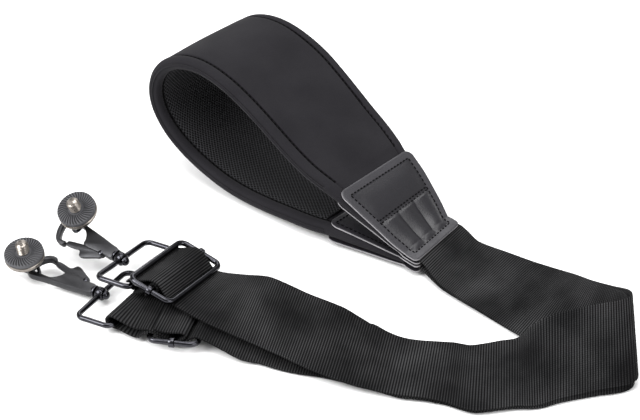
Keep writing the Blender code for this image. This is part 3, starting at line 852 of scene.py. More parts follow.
    def make(
        self, name: str, finishes: Sequence[Finish], crease: float = 42.0
    ) -> bpy.types.Object:
        """Turn the draft to an object in the world.

        Args:
            name: The piece's name.
            finishes: The finish of each slot.
            crease: Angle above which an edge stays sharp, in degrees.

        Returns:
            The object, linked to the scene.
        """
        mesh = bpy.data.meshes.new(name)
        places = [tuple((p + Draft.shift) * MM) for p in self.points]
        mesh.from_pydata(places, [], self.faces)
        cloth = mesh.uv_layers.new(name="cloth")
        flat = [c for marks in self.marks for mark in marks for c in mark]
        cloth.data.foreach_set("uv", flat)
        mesh.polygons.foreach_set("material_index", self.slots)
        mesh.polygons.foreach_set("use_smooth", [True] * len(self.faces))
        shape = bmesh.new()
        shape.from_mesh(mesh)
        bmesh.ops.remove_doubles(shape, verts=shape.verts, dist=WELD * MM)
        loose = [v for v in shape.verts if not v.link_faces]
        bmesh.ops.delete(shape, geom=loose, context="VERTS")
        bmesh.ops.recalc_face_normals(shape, faces=shape.faces)
        shape.to_mesh(mesh)
        shape.free()
        for finish in finishes:
            mesh.materials.append(finish.material())
        mesh.set_sharp_from_angle(angle=math.radians(crease))
        item = bpy.data.objects.new(name, mesh)
        bpy.context.collection.objects.link(item)
        return item


def cut(body: bpy.types.Object, tool: bpy.types.Object) -> None:
    """Take one object's shape out of another.

    Args:
        body: The object that is cut.
        tool: The shape that goes; it is removed afterwards.
    """
    step = body.modifiers.new("cut", "BOOLEAN")
    step.operation = "DIFFERENCE"
    step.solver = "EXACT"
    step.object = tool
    bpy.context.view_layer.update()
    result = body.evaluated_get(bpy.context.evaluated_depsgraph_get())
    mesh = bpy.data.meshes.new_from_object(result)
    body.modifiers.clear()
    body.data = mesh
    mesh.polygons.foreach_set("use_smooth", [True] * len(mesh.polygons))
    mesh.set_sharp_from_angle(angle=math.radians(38))
    bpy.data.objects.remove(tool, do_unlink=True)


def settle(item: bpy.types.Object, body: str, nodes: Sequence[str] = ()) -> None:
    """Put a piece on its body, in the place of its CAD nodes.

    Args:
        item: The piece.
        body: The body that it rides on.
        nodes: The CAD nodes that it stands for.
    """
    if nodes:
        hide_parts(*nodes)
    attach(item, body)
    LOG.info("%s: %d faces on %s", item.name, len(item.data.polygons), body)


@dataclass(frozen=True)
class Place:
    """Where a wire part lies: u to the hook, v along its bars, w out of its frame."""

    centre: Vector
    heading: float
    pitch: float
    roll: float

    @property
    def u(self) -> Vector:
        """Direction to the hook."""
        return direction(self.heading, self.pitch)

    @property
    def v(self) -> Vector:
        """Direction along the bars."""
        flat = Vector((0, 0, 1)).cross(direction(self.heading))
        return Matrix.Rotation(math.radians(self.roll), 3, self.u) @ flat

    @property
    def w(self) -> Vector:
        """Direction out of the frame."""
        return self.u.cross(self.v)

    def at(self, u: float, v: float, w: float) -> Vector:
        """Give the layout point at local coordinates."""
        return self.centre + self.u * u + self.v * v + self.w * w


class Side(Enum):
    """The strap's two ends: the one in front on the table, and the one behind it."""

    FRONT = "front"
    REAR = "rear"


# Middle of each slider and ring, and its heading, pitch and roll in degrees
SLIDERS = {
    Side.FRONT: Place(Vector((-67.0, -78.8, 15.5)), 148.5, 15.0, 5.0),
    Side.REAR: Place(Vector((-61.9, -98.8, 4.1)), 166.0, -2.0, 0.0),
}
RINGS = {
    Side.FRONT: Place(Vector((-85.2, -65.6, 11.0)), 150.5, 0.0, 6.0),
    Side.REAR: Place(Vector((-93.7, -84.2, 3.9)), 151.8, 0.0, 1.0),
}


@dataclass(frozen=True)
class Section:
    """One cross-section of the pad."""

    centre: Vector
    across: Vector
    normal: Vector
    thick: float
    half: float
    lined: float
    along: float

    def at(self, x: float, height: float) -> Vector:
        """Give the layout point at a distance across the pad and a height over its middle."""
        return self.centre + self.across * x + self.normal * height


def pad_sections(steps: int) -> list[Section]:
    """Give dense cross-sections of the pad.

    Args:
        steps: Sections for each row of the table.

    Returns:
        The sections, from the upper end to the lower one.
    """
    rows = spline([Vector(row) for row in PAD_ROWS], steps)
    back = direction(PAD_HEADING) * -1
    aside = direction(PAD_HEADING + 90)
    places = []
    for row in rows:
        centre = PAD_END + back * row[0] + aside * row[6]
        places.append(Vector((centre.x, centre.y, row[1])))
    out = []
    along = 0.0
    for i, row in enumerate(rows):
        start = places[max(i - 1, 0)]
        end = places[min(i + 1, len(rows) - 1)]
        across = direction(PAD_HEADING + 90 + row[4])
        normal = across.cross((end - start).normalized()).normalized()
        if i:
            along += (places[i] - places[i - 1]).length
        lined = max(0.0, min(1.0, row[5]))
        out.append(Section(places[i], across, normal, row[2], row[3], lined, along))
    return out


@dataclass
class Pad:
    """Neoprene pad folded over on itself, with a rolled rim sewn down round its edge."""

    steps: int = 5
    rim_round: float = 3.2
    seam_inset: float = 5.9
    seam_depth: float = 1.05
    seam_width: float = 0.8
    seam_shade_band: float = 0.55
    crown: float = 0.35
    billow: float = 0.45
    edge_notch: float = 0.45
    lining_inset: float = 6.7
    lining_thick: float = 0.9
    lining_sink: float = 1.25
    stitch_pitch: float = 2.7
    stitch_length: float = 1.9
    stitch_radius: float = 0.75
    stitch_lift: float = 0.2
    insets: tuple[float, ...] = (
        0.0, 0.1, 0.45, 1.0, 1.7, 2.5, 3.3, 4.2, 4.8, 5.2, 5.6, 5.9, 6.2, 6.6, 7.1, 7.8, 9.0,
    )
    sections: list[Section] = field(default_factory=list)

    def height(self, inset_by: float, section: Section) -> float:
        """Give the face's height over the pad's middle.

        Args:
            inset_by: Distance in from the edge.
            section: The cross-section.

        Returns:
            Millimetres along the section's normal.
        """
        half = section.thick / 2
        turn = min(half, self.rim_round)
        level = half
        if inset_by < turn:
            level = half * math.sqrt(max(0.0, 1 - ((turn - inset_by) / turn) ** 2))
        full = max(0.0, min(1.0, (section.thick - 2.6) / 2.6))
        seam = math.exp(-(((inset_by - self.seam_inset) / self.seam_width) ** 2))
        return level - self.seam_depth * full * seam

    def stops(self, section: Section) -> list[float]:
        """List where the shell's points stand across a section.

        Args:
            section: The cross-section.

        Returns:
            Distances from its middle, from one edge to the other.
        """
        inner = section.half - self.insets[-1]
        notch = self.edge_notch * section.lined
        left = [-section.half + (step if step else notch) for step in self.insets]
        middle = [inner * part for part in (-0.66, -0.33, 0.0, 0.33, 0.66)]
        return left + middle + [-x for x in reversed(left)]

    def nearest(self, along: float) -> Section:
        """Find a cross-section.

        Args:
            along: Distance along the pad.

        Returns:
            The first section at or after that distance.
        """
        low = 0
        high = len(self.sections) - 1
        while low < high:
            middle = (low + high) // 2
            if self.sections[middle].along < along - 1e-6:
                low = middle + 1
            else:
                high = middle
        return self.sections[low]

    def shell(self) -> bpy.types.Object:
        """Build the neoprene with its rolled rim and the sunk bed of the lining.

        Returns:
            The shell.
        """
        draft = Draft()
        outer: list[list[Vector]] = []
        inner: list[list[Vector]] = []
        marks: list[list[Pair]] = []
        for section in self.sections:
            stops = self.stops(section)
            row_out = []
            row_in = []
            for x in stops:
                depth = section.half - abs(x)
                rise = 0.0 if x in (stops[0], stops[-1]) else self.height(depth, section)
                crown = self.crown * section.lined * max(0.0, 1 - (x / section.half) ** 2)
                wave = 0.0
                if depth > self.seam_inset + 1.0:
                    spot = Vector((section.along * 0.035, x * 0.05, 3.0))
                    wave = self.billow * noise.noise(spot) * section.lined
                sink = self.lining_sink * section.lined
                sink *= max(0.0, min(1.0, (depth - self.lining_inset + 0.5) / 0.4))
                row_out.append(section.at(x, rise + crown + wave))
                row_in.append(section.at(x, sink - rise))
            outer.append(row_out)
            inner.append(row_in)
            marks.append([(section.along, x) for x in stops])
        draft.grid(outer, marks)
        draft.grid(inner, marks)
        # Painted shade: faces along the seam's groove take the darker jersey finish.
        for n, mark in enumerate(draft.marks):
            section = self.nearest(mark[0][0])
            depth = section.half - abs(sum(spot[1] for spot in mark) / 4)
            if abs(depth - self.seam_inset) < self.seam_shade_band and section.lined > 0.5:
                draft.slots[n] = 1
        draft.grid([outer[0], inner[0]])
        draft.grid([outer[-1], inner[-1]])
        item = draft.make("neoprene_shell", [NEOPRENE, SEAM_SHADE], 60)
        settle(item, "strap", ["pad_shell"])
        return item

    def lining(self) -> bpy.types.Object:
        """Build the air mesh set into the inner face.

        Returns:
            The lining.
        """
        draft = Draft()
        top: list[list[Vector]] = []
        low: list[list[Vector]] = []
        marks: list[list[Pair]] = []
        for section in [s for s in self.sections if s.lined > 0.995][2:-2]:
            edge = section.half - self.lining_inset
            bed = -section.thick / 2 + self.lining_sink - 0.35
            row_top = []
            row_low = []
            row_marks = []
            for k in range(25):
                x = edge * (k / 12 - 1)
                soft = min(1.0, (edge - abs(x)) / 2.0)
                face = bed - self.lining_thick * (0.45 + 0.55 * soft ** 0.5)
                row_top.append(section.at(x, bed))
                row_low.append(section.at(x, face))
                row_marks.append((section.along, x))
            top.append(row_top)
            low.append(row_low)
            marks.append(row_marks)
        draft.slab(top, low, marks)
        item = draft.make("mesh_lining", [MESH], 60)
        settle(item, "strap", ["pad_mesh_lining"])
        return item

    def seams(self) -> bpy.types.Object:
        """Sew the rim down on both faces.

        Returns:
            The stitches.
        """
        draft = Draft()
        count = 0
        lined = [s for s in self.sections if s.lined > 0.5]
        for face in (1, -1):
            for side in (1, -1):
                path = []
                for section in lined:
                    x = side * (section.half - self.seam_inset)
                    rise = self.height(self.seam_inset, section) + self.stitch_lift
                    path.append(section.at(x, face * rise))
                count += draft.stitches(
                    path, self.stitch_pitch, self.stitch_length, self.stitch_radius
                )
        item = draft.make("rim_stitches", [THREAD], 60)
        settle(item, "strap")
        LOG.info("rim sewn with %d stitches", count)
        return item

    def build(self) -> None:
        """Build the shell, its lining and its seams."""
        self.sections = pad_sections(self.steps)
        self.shell()
        self.lining()
        self.seams()


def swell(part: float) -> float:
    """Give the rise of padding from its seam, 0 at the seam and 1 from one part on."""
    t = max(0.0, min(1.0, part))
    return math.sin(math.pi / 2 * t) ** 0.8


class PatchPlace(Enum):
    """The four leather patches: node name, on the pad's upper end, on its outer face."""

    UPPER_OUTER = ("upper_patch_outer", True, True)
    UPPER_INNER = ("upper_patch_inner", True, False)
    LOWER_OUTER = ("lower_patch_outer", False, True)
    LOWER_INNER = ("lower_patch_inner", False, False)


@dataclass
class LeatherPatch:
    """Leather end patch of the pad; the one on top has padded panels under a flat border."""

    place: PatchPlace
    length: float = 50.0
    thick: float = 1.0
    stand_off: float = 0.35
    border: float = 4.6
    wide_round: float = 5.0
    tip_round: float = 3.0
    puff: float = 1.7
    divider: Pair = (27.1, 28.6)
    rib_start: float = 5.4
    panel_end: float = 45.4
    tip_half: float = 19.4
    outer_margin: float = 0.4
    inner_margin: float = -1.2
    plain_inset: float = 2.6
    stitch_pitch: float = 2.4
    stitch_length: float = 1.65
    stitch_radius: float = 0.36
    stitch_lift: float = 0.06
    route: list[Section] = field(default_factory=list)

    @property
    def padded(self) -> bool:
        """Whether this is the patch with padded panels."""
        return self.place is PatchPlace.UPPER_OUTER

    def trace(self) -> None:
        """Work out the cross-sections from the narrow tip to the wide end."""
        _, upper, _ = self.place.value
        sections = pad_sections(5)
        if not upper:
            sections = sections[::-1]
        lead = sections[0]
        step = sections[1].centre - lead.centre
        flat = Vector((step.x, step.y, 0)).normalized()
        up = Vector((0, 0, 1 if upper else -1))
        route = []
        for back in (9.2, 6.9, 4.6, 2.3):
            centre = lead.centre - flat * back
            normal = up.lerp(lead.normal, 1 - back / 9.2).normalized()
            route.append(Section(centre, lead.across, normal, lead.thick, 19.75, 0, 9.2 - back))
        along = 9.2
        previous = lead.centre
        for section in sections:
            along += (section.centre - previous).length
            previous = section.centre
            route.append(
                Section(
                    section.centre, section.across, section.normal, section.thick, section.half,
                    0, along,
                )
            )
            if along > self.length + 4:
                break
        self.route = route

    def section(self, along: float) -> Section:
        """Work out a cross-section between those of the route.

        Args:
            along: Distance from the tip.

        Returns:
            The section there.
        """
        for a, b in zip(self.route, self.route[1:]):
            if b.along >= along:
                t = (along - a.along) / max(b.along - a.along, 1e-6)
                return Section(
                    a.centre.lerp(b.centre, t),
                    a.across.lerp(b.across, t).normalized(),
                    a.normal.lerp(b.normal, t).normalized(),
                    a.thick + (b.thick - a.thick) * t,
                    a.half + (b.half - a.half) * t,
                    0.0,
                    along,
                )
        return self.route[-1]

    def reach(self, along: float) -> float:
        """Give the half width of the patch, with its corners rounded off.

        Args:
            along: Distance from the tip.

        Returns:
            The distance from the middle line to the cut edge.
        """
        half = self.straight(along)
        for gap, turn in ((self.length - along, self.wide_round), (along, self.tip_round)):
            if gap < turn:
                half -= turn - math.sqrt(max(0.0, turn ** 2 - (turn - gap) ** 2))
        return half

    def relief(self, along: float, x: float) -> float:
        """Give the height of the padding under the leather.

        Args:
            along: Distance from the tip.
            x: Distance from the middle line.

        Returns:
            Millimetres over the flat border.
        """
        if not self.padded:
            return 0.0
        side = self.straight(along) - self.border
        if abs(x) >= side:
            return 0.0
        low, high = self.divider
        if high < along < self.panel_end:
            edge = min(along - high, self.panel_end - along)
            t = (along - high) / (self.panel_end - high)
            crown = 0.6 + 0.4 * math.sin(math.pi * t) * (1 - (x / side) ** 2)
            return self.puff * 0.75 * crown * swell(edge / 7.0) * swell((side - abs(x)) / 6.0)
        if self.rib_start < along < low:
            rise = swell((along - self.rib_start) / 6.0) * swell((low - along) / 2.0)
            rib = (x / side + 1) * 1.5 % 1.0
            return self.puff * 1.05 * rise * math.sin(math.pi * rib) ** 0.8
        return 0.0

    def surface(self, along: float, x: float, lift: float = 0.0) -> Vector:
        """Give a point on the leather's face.

        Args:
            along: Distance from the tip.
            x: Distance from the middle line.
            lift: Distance over the face.

        Returns:
            The layout point.
        """
        section = self.section(along)
        face = 1 if self.place.value[2] else -1
        rise = section.thick / 2 + self.stand_off + self.thick + self.relief(along, x) + lift
        return section.at(x, face * rise)

    def leather(self) -> bpy.types.Object:
        """Build the leather with its pale cut edge.

        Returns:
            The patch.
        """
        draft = Draft()
        name, _, outer = self.place.value
        face = 1 if outer else -1
        fine = 0.4 if self.padded else 1.2
        count = 90 if self.padded else 14
        ends = [0.0, 0.1, 0.3, 0.6, 1.0, 1.5, 2.1]
        spans = round((self.length - 4.2) / fine)
        rows = ends + [2.1 + (self.length - 4.2) * k / spans for k in range(1, spans)]
        rows += [self.length - step for step in reversed(ends)]
        top: list[list[Vector]] = []
        low: list[list[Vector]] = []
        marks: list[list[Pair]] = []
        for along in rows:
            reach = self.reach(along)
            section = self.section(along)
            near = section.thick / 2 + self.stand_off
            inner = [reach * (k / count * 2 - 1) * 0.985 for k in range(count + 1)]
            stops = [-reach] + inner + [reach]
            row_top = []
            row_low = []
            for x in stops:
                rim = min(reach - abs(x), along, self.length - along)
                drop = 0.3 * max(0.0, 1 - rim / 0.5)
                row_top.append(self.surface(along, x, -drop))
                row_low.append(section.at(x, face * near))
            top.append(row_top)
            low.append(row_low)
            marks.append([(along, x) for x in stops])
        draft.slab(top, low, marks, 1)
        face_count = (len(top) - 1) * (len(top[0]) - 1)
        for n, mark in enumerate(draft.marks[:face_count] if self.padded else []):
            along = sum(spot[0] for spot in mark) / 4
            x = sum(spot[1] for spot in mark) / 4
            inside = self.rib_start - 0.4 < along < self.panel_end + 0.3
            if not inside or abs(x) > self.straight(along) - self.border + 0.2:
                draft.slots[n] = 2
        finishes = [LEATHER, LEATHER_EDGE] + ([LEATHER_BORDER] if self.padded else [])
        item = draft.make(name.replace("patch", "leather"), finishes, 50)
        settle(item, "strap", [name])
        return item

    def seam(self, draft: Draft, spots: Sequence[Pair]) -> int:
        """Sew a straight-sided line over the leather.

        Args:
            draft: Where the stitches go.
            spots: Corners of the line: along the patch, across it.

        Returns:
            How many stitches it has.
        """
        path = []
        for (a0, x0), (a1, x1) in zip(spots, spots[1:]):
            for k in range(16):
                t = k / 15
                spot = (a0 + (a1 - a0) * t, x0 + (x1 - x0) * t)
                path.append(self.surface(*spot, self.stitch_lift))
        clean = [path[0]]
        for spot in path[1:]:
            if (spot - clean[-1]).length > 0.05:
                clean.append(spot)
        return draft.stitches(clean, self.stitch_pitch, self.stitch_length, self.stitch_radius)

    def seams(self) -> bpy.types.Object:
        """Sew the patch to the pad.

        Returns:
            The stitches.
        """
        draft = Draft()
        inside = self.border - 0.35 if self.padded else self.plain_inset
        first = self.rib_start - 0.7 if self.padded else self.plain_inset
        last = self.panel_end + 0.5 if self.padded else self.length - self.plain_inset
        rails = {}
        for side in (-1, 1):
            stops = [first + (last - first) * k / 6 for k in range(7)]
            rails[side] = [(along, side * (self.straight(along) - inside)) for along in stops]
            self.seam(draft, rails[side])
        self.seam(draft, [rails[-1][0], rails[1][0]])
        self.seam(draft, [rails[-1][-1], rails[1][-1]])
        if self.padded:
            for along in self.divider:
                x = self.straight(along) - self.border
                self.seam(draft, [(along, -x), (along, x)])
        item = draft.make(self.place.value[0].replace("patch", "stitches"), [THREAD], 60)
        settle(item, "strap")
        return item

    def straight(self, along: float) -> float:
        """Give the half width before the corners are rounded."""
        margin = self.outer_margin if self.place.value[2] else self.inner_margin
        return max(self.section(along).half + margin, self.tip_half)

    def build(self) -> None:
        """Build the leather and its seams."""
        self.trace()
        self.leather()
        self.seams()


class Run(Enum):
    """The two webbings, by the pad end that each comes from."""

    UPPER = "webbing_upper"
    LOWER = "webbing_lower"


@dataclass
class Webbing:
    """Nylon webbing from the pad's leather through its slider, round its ring and back."""

    run: Run
    width: float = 38.0
    thick: float = 1.0
    steps: int = 6
    ring_depth: float = 18.6
    wrap_radius: float = 2.05
    columns: tuple[float, ...] = (-1.0, -0.985, -0.95, -0.8, -0.4, 0.0, 0.4, 0.8, 0.95, 0.985, 1.0)

    def shared(self) -> list[Station]:
        """Place the run beside the other webbing.

        Returns:
            Its stations.
        """
        sign = 1 if self.run is Run.UPPER else -1
        rows = spline([Vector(row) for row in STACK_ROWS], 2)
        out: list[Station] = []
        last = len(rows) - 1
        for i, row in enumerate(rows):
            before = rows[max(i - 1, 0)]
            after = rows[min(i + 1, last)]
            tangent = Vector((after[0] - before[0], after[1] - before[1], after[2] - before[2]))
            across = direction(row[3], row[4])
            normal = tangent.cross(across).normalized()
            centre = Vector((row[0], row[1], row[2])) + normal * (sign * row[5] / 2)
            if sign > 0:
                centre = centre - across * row[6]
            out.append((centre, across))
        return out

    def wrap(self) -> list[Station]:
        """Turn the webbing round the bar of the front ring.

        Returns:
            The stations of the turn.
        """
        ring = RINGS[Side.FRONT]
        out: list[Station] = []
        for k in range(6):
            a = math.radians(30 - 30 * k)
            along = -self.ring_depth / 2 + self.wrap_radius * math.cos(a)
            out.append((ring.at(along, 0, self.wrap_radius * math.sin(a)), ring.v * -1))
        return out

    def stations(self) -> list[Station]:
        """Give the whole route.

        Returns:
            Dense stations from the pad to the loose end.
        """
        def local(place: Place, pairs: Sequence[Pair], flip: float = 1.0) -> list[Station]:
            """Turn a side view to stations."""
            return [(place.at(u, 0, w * flip), place.v * -1) for u, w in pairs]

        if self.run is Run.LOWER:
            slider = SLIDERS[Side.FRONT]
            own = [(Vector(r[:3]), direction(r[3], r[4])) for r in LOWER_RUN]
            loop = own + local(slider, SLIDER_IN + LOWER_DOWN) + self.wrap()
            loop += local(slider, LOWER_OUT)
        else:
            slider = SLIDERS[Side.REAR]
            own = [(Vector(r[:3]), direction(r[3], r[4])) for r in UPPER_RUN]
            loop = own + local(slider, SLIDER_IN, -1.0) + local(slider, UPPER_DOWN)
            loop += local(RINGS[Side.REAR], UPPER_FOLD) + local(slider, UPPER_OUT)
        shared = self.shared()
        joined = smooth_run([shared[-1]] + loop, 2)
        return smooth_run(shared[:-1] + joined, self.steps // 2)

    def build(self) -> None:
        stations = self.stations()
        draft = Draft()
        top: list[list[Vector]] = []
        low: list[list[Vector]] = []
        marks: list[list[Pair]] = []
        along = 0.0
        last = len(stations) - 1
        for i, (centre, across) in enumerate(stations):
            if i:
                along += (centre - stations[i - 1][0]).length
            before = stations[max(i - 1, 0)][0]
            after = stations[min(i + 1, last)][0]
            normal = (after - before).cross(across).normalized()
            row_top = []
            row_low = []
            for part in self.columns:
                x = part * self.width / 2
                thin = 0.34 * max(0.0, (abs(part) - 0.94) / 0.06) ** 2
                ripple = 0.05 * noise.noise(Vector((along * 0.12, x * 0.1, 7.0)))
                half = self.thick / 2 * (1 - thin)
                row_top.append(centre + across * x + normal * (half + ripple))
                row_low.append(centre + across * x - normal * (half - ripple))
            top.append(row_top)
            low.append(row_low)
            marks.append([(along, part * self.width / 2) for part in self.columns])
        draft.slab(top, low, marks, woven_sides=True)
        item = draft.make(self.run.value + "_woven", [WEBBING], 50)
        settle(item, "strap", [self.run.value])
        LOG.info("%s: %.0f mm of webbing", item.name, along)


def wire_loop(
    place: Place, length: float, depth: float, turn: float, opening: float = 0.0
) -> list[Vector]:
    """Give the path of a rounded rectangle of wire.

    Args:
        place: Where it lies.
        length: Its size along the bars, between wire centres.
        depth: Its size along the strap.
        turn: Radius of its corners.
        opening: Half of the gap left in the middle of the hook side.

    Returns:
        The points of the wire's centre line.
    """
    hu = depth / 2
    hv = length / 2
    path = []
    if opening:
        for part in (0.0, 0.3, 0.6):
            path.append(place.at(hu, opening + (hv - turn - opening) * part, 0))
    corners = (
        (hu - turn, hv - turn, 0), (-hu + turn, hv - turn, 90),
        (-hu + turn, -hv + turn, 180), (hu - turn, -hv + turn, 270),
    )
    for cu, cv, start in corners:
        for s in range(10):
            a = math.radians(start + 10 * s)
            path.append(place.at(cu + turn * math.cos(a), cv + turn * math.sin(a), 0))
    if opening:
        for part in (0.6, 0.3, 0.0):
            path.append(place.at(hu, -opening - (hv - turn - opening) * part, 0))
    return path


@dataclass
class Slider:
    """Wire slider: a rounded frame, and a bar whose ends are clipped round its short sides."""

    side: Side
    length: float = 43.6
    depth: float = 22.8
    turn: float = 3.6
    wire: float = 1.38
    bar: float = 1.0
    bar_inset: float = 1.6
    clip: float = 2.35
    clip_gap: float = 0.25
    clip_length: float = 2.6

    def build(self) -> None:
        """Build the frame and the bar."""
        place = SLIDERS[self.side]
        node = "slider_" + self.side.value
        draft = Draft()
        draft.tube(wire_loop(place, self.length, self.depth, self.turn), self.wire, 20, True)
        settle(draft.make(node + "_frame", [WIRE], 60), "strap", [node])
        draft = Draft()
        half = self.length / 2
        reach = half - self.bar_inset
        draft.tube([place.at(0, part * reach, 0) for part in (-1, 0, 1)], self.bar, 16)
        bore = self.wire + self.clip_gap
        edge = self.clip_length / 2
        ring = [
            (-edge, bore), (-edge, self.clip - 0.35), (-edge + 0.12, self.clip - 0.1),
            (-edge + 0.4, self.clip), (edge - 0.4, self.clip), (edge - 0.12, self.clip - 0.1),
            (edge, self.clip - 0.35), (edge, bore),
        ]
        for side in (-1, 1):
            draft.lathe(ring, place.at(0, side * half, 0), place.u, 24, loop=True)
        item = draft.make(node + "_clipped_bar", [WIRE], 40)
        settle(item, "strap", [node + "_bar"])


@dataclass
class SwivelRing:
    """Rectangular wire ring whose hook side carries a rounded barrel for the swivel."""

    side: Side
    length: float = 43.6
    depth: float = 18.6
    turn: float = 3.6
    wire: float = 1.3
    boss: float = 3.1
    bore: float = 1.6
    boss_length: float = 4.2
    boss_offset: float = 0.4
    opening: float = 2.2

    def build(self) -> None:
        """Build the wire and its barrel."""
        place = RINGS[self.side]
        centre, axis, _ = hook_axes(self.side)
        draft = Draft()
        path = wire_loop(place, self.length, self.depth, self.turn, self.opening)
        draft.tube(path, self.wire, 20)
        half = self.boss_length / 2
        barrel = [
            (-half, self.bore), (-half, self.boss - 0.8), (-half + 0.15, self.boss - 0.35),
            (-half + 0.6, self.boss), (half - 0.6, self.boss), (half - 0.15, self.boss - 0.35),
            (half, self.boss - 0.8), (half, self.bore),
        ]
        draft.lathe(barrel, centre, axis, 32, loop=True)
        node = "ring_" + self.side.value
        settle(draft.make(node + "_wire", [WIRE], 40), "strap", [node])


# Each hook's own direction, and the side on which its gate lies
HOOK_AXES = {
    Side.FRONT: (Vector((-0.71, 0.70, 0.077)), Vector((-0.60, -0.62, -0.50))),
    Side.REAR: (Vector((-0.868, 0.495, 0.02)), Vector((0.46, 0.87, 0.20))),
}


def hook_axes(side: Side) -> tuple[Vector, Vector, Vector]:
    """Give where a hook turns and how it lies.

    Args:
        side: Which end of the strap.

    Returns:
        The boss centre, the hook's axis and the direction from its back to its gate.
    """
    axis, gate = HOOK_AXES[side]
    axis = axis.normalized()
    gate = (gate - axis * gate.dot(axis)).normalized()
    return RINGS[side].at(SwivelRing.depth / 2 + SwivelRing.boss_offset, 0, 0), axis, gate


@dataclass
class SnapHook:
    """Cast snap hook on its swivel, with a sprung gate pivoted between its cheeks."""

    side: Side
    thick: float = 3.4
    bevel: float = 0.55
    slot_width: float = 2.2
    slot: tuple[float, float, float] = (5.4, 23.0, -1.6)
    gate_thick: float = 1.6
    pivot: Pair = (7.6, 3.4)
    stand_off: float = 2.8
    shank: float = 1.25
    below: float = 5.25

    def frame(self) -> tuple[Vector, Vector, Vector]:
        """Give the flange point, the axis and the gate direction."""
        boss, axis, gate = hook_axes(self.side)
        return boss + axis * self.stand_off, axis, gate

    def body(self) -> None:
        """Cast the plate and claw, cut the gate's slot and turn the swivel."""
        flange, axis, gate = self.frame()
        w = axis.cross(gate).normalized()
        smooth = spline([Vector(spot) for spot in HOOK_PLATE], 3, closed=True)
        draft = Draft()
        draft.plate([(p[0], p[1]) for p in smooth], self.thick, self.bevel, flange, axis, gate)
        item = draft.make("hook_body_" + self.side.value, [CAST], 38)
        start, end, floor = self.slot
        box = Draft()
        corners = [(start, floor), (end, floor), (end, 8.0), (start, 8.0)]
        rings = [
            [flange + axis * a + gate * b + w * h for a, b in corners]
            for h in (-self.slot_width / 2, self.slot_width / 2)
        ]
        box.grid(rings, closed=True)
        box.polygon(rings[0])
        box.polygon(rings[1])
        cut(item, box.make("slot", [CAST]))
        settle(item, "snap_" + self.side.value, ["hook_" + self.side.value])
        swivel = Draft()
        low = -self.below
        swivel.lathe(
            [
                (low - 2.2, 0.0), (low - 2.15, 0.7), (low - 1.9, 1.35), (low - 1.4, 1.85),
                (low - 0.7, 2.12), (low - 0.15, 2.2), (low, 2.1), (low, self.shank),
                (-0.2, self.shank), (-0.2, 2.7), (-0.05, 2.95), (0.15, 3.0), (0.7, 3.0),
                (0.95, 2.9), (1.4, 2.2), (2.4, 1.3), (2.6, 0.0),
            ],
            flange, axis, 32,
        )
        for way in (-1, 1):
            spot = flange + axis * self.pivot[0] + gate * self.pivot[1]
            spot += w * (way * (self.thick / 2 - 0.05))
            swivel.lathe(
                [(0, 0.0), (0, 1.25), (0.15, 1.2), (0.32, 0.9), (0.42, 0.45), (0.44, 0.0)],
                spot, w * way, 20,
            )
        settle(
            swivel.make("swivel_" + self.side.value, [WIRE], 40),
            "snap_" + self.side.value,
        )

    def lever(self) -> None:
        """Build the gate with its thumb piece."""
        flange, axis, gate = self.frame()
        smooth = spline([Vector(spot) for spot in HOOK_GATE], 3, closed=True)
        outline = [(p[0], p[1]) for p in smooth]
        draft = Draft()
        draft.plate(outline, self.gate_thick, 0.3, flange, axis, gate)
        item = draft.make("gate_lever_" + self.side.value, [CAST], 38)
        settle(item, "lever_" + self.side.value, ["gate_" + self.side.value])

    def build(self) -> None:
        """Build the hook and its gate."""
        self.body()
        self.lever()


# Where each D-ring hangs: along its hook, towards the gate, the disc's normal, and how far the disc
# has slipped along the bar
HOLDS = {
    Side.FRONT: (29.8, -5.4, Vector((-0.235, -0.434, 0.869)), 0.0),
    Side.REAR: (36.3, 0.2, Vector((-0.1, -0.25, 0.963)), 2.4),
}


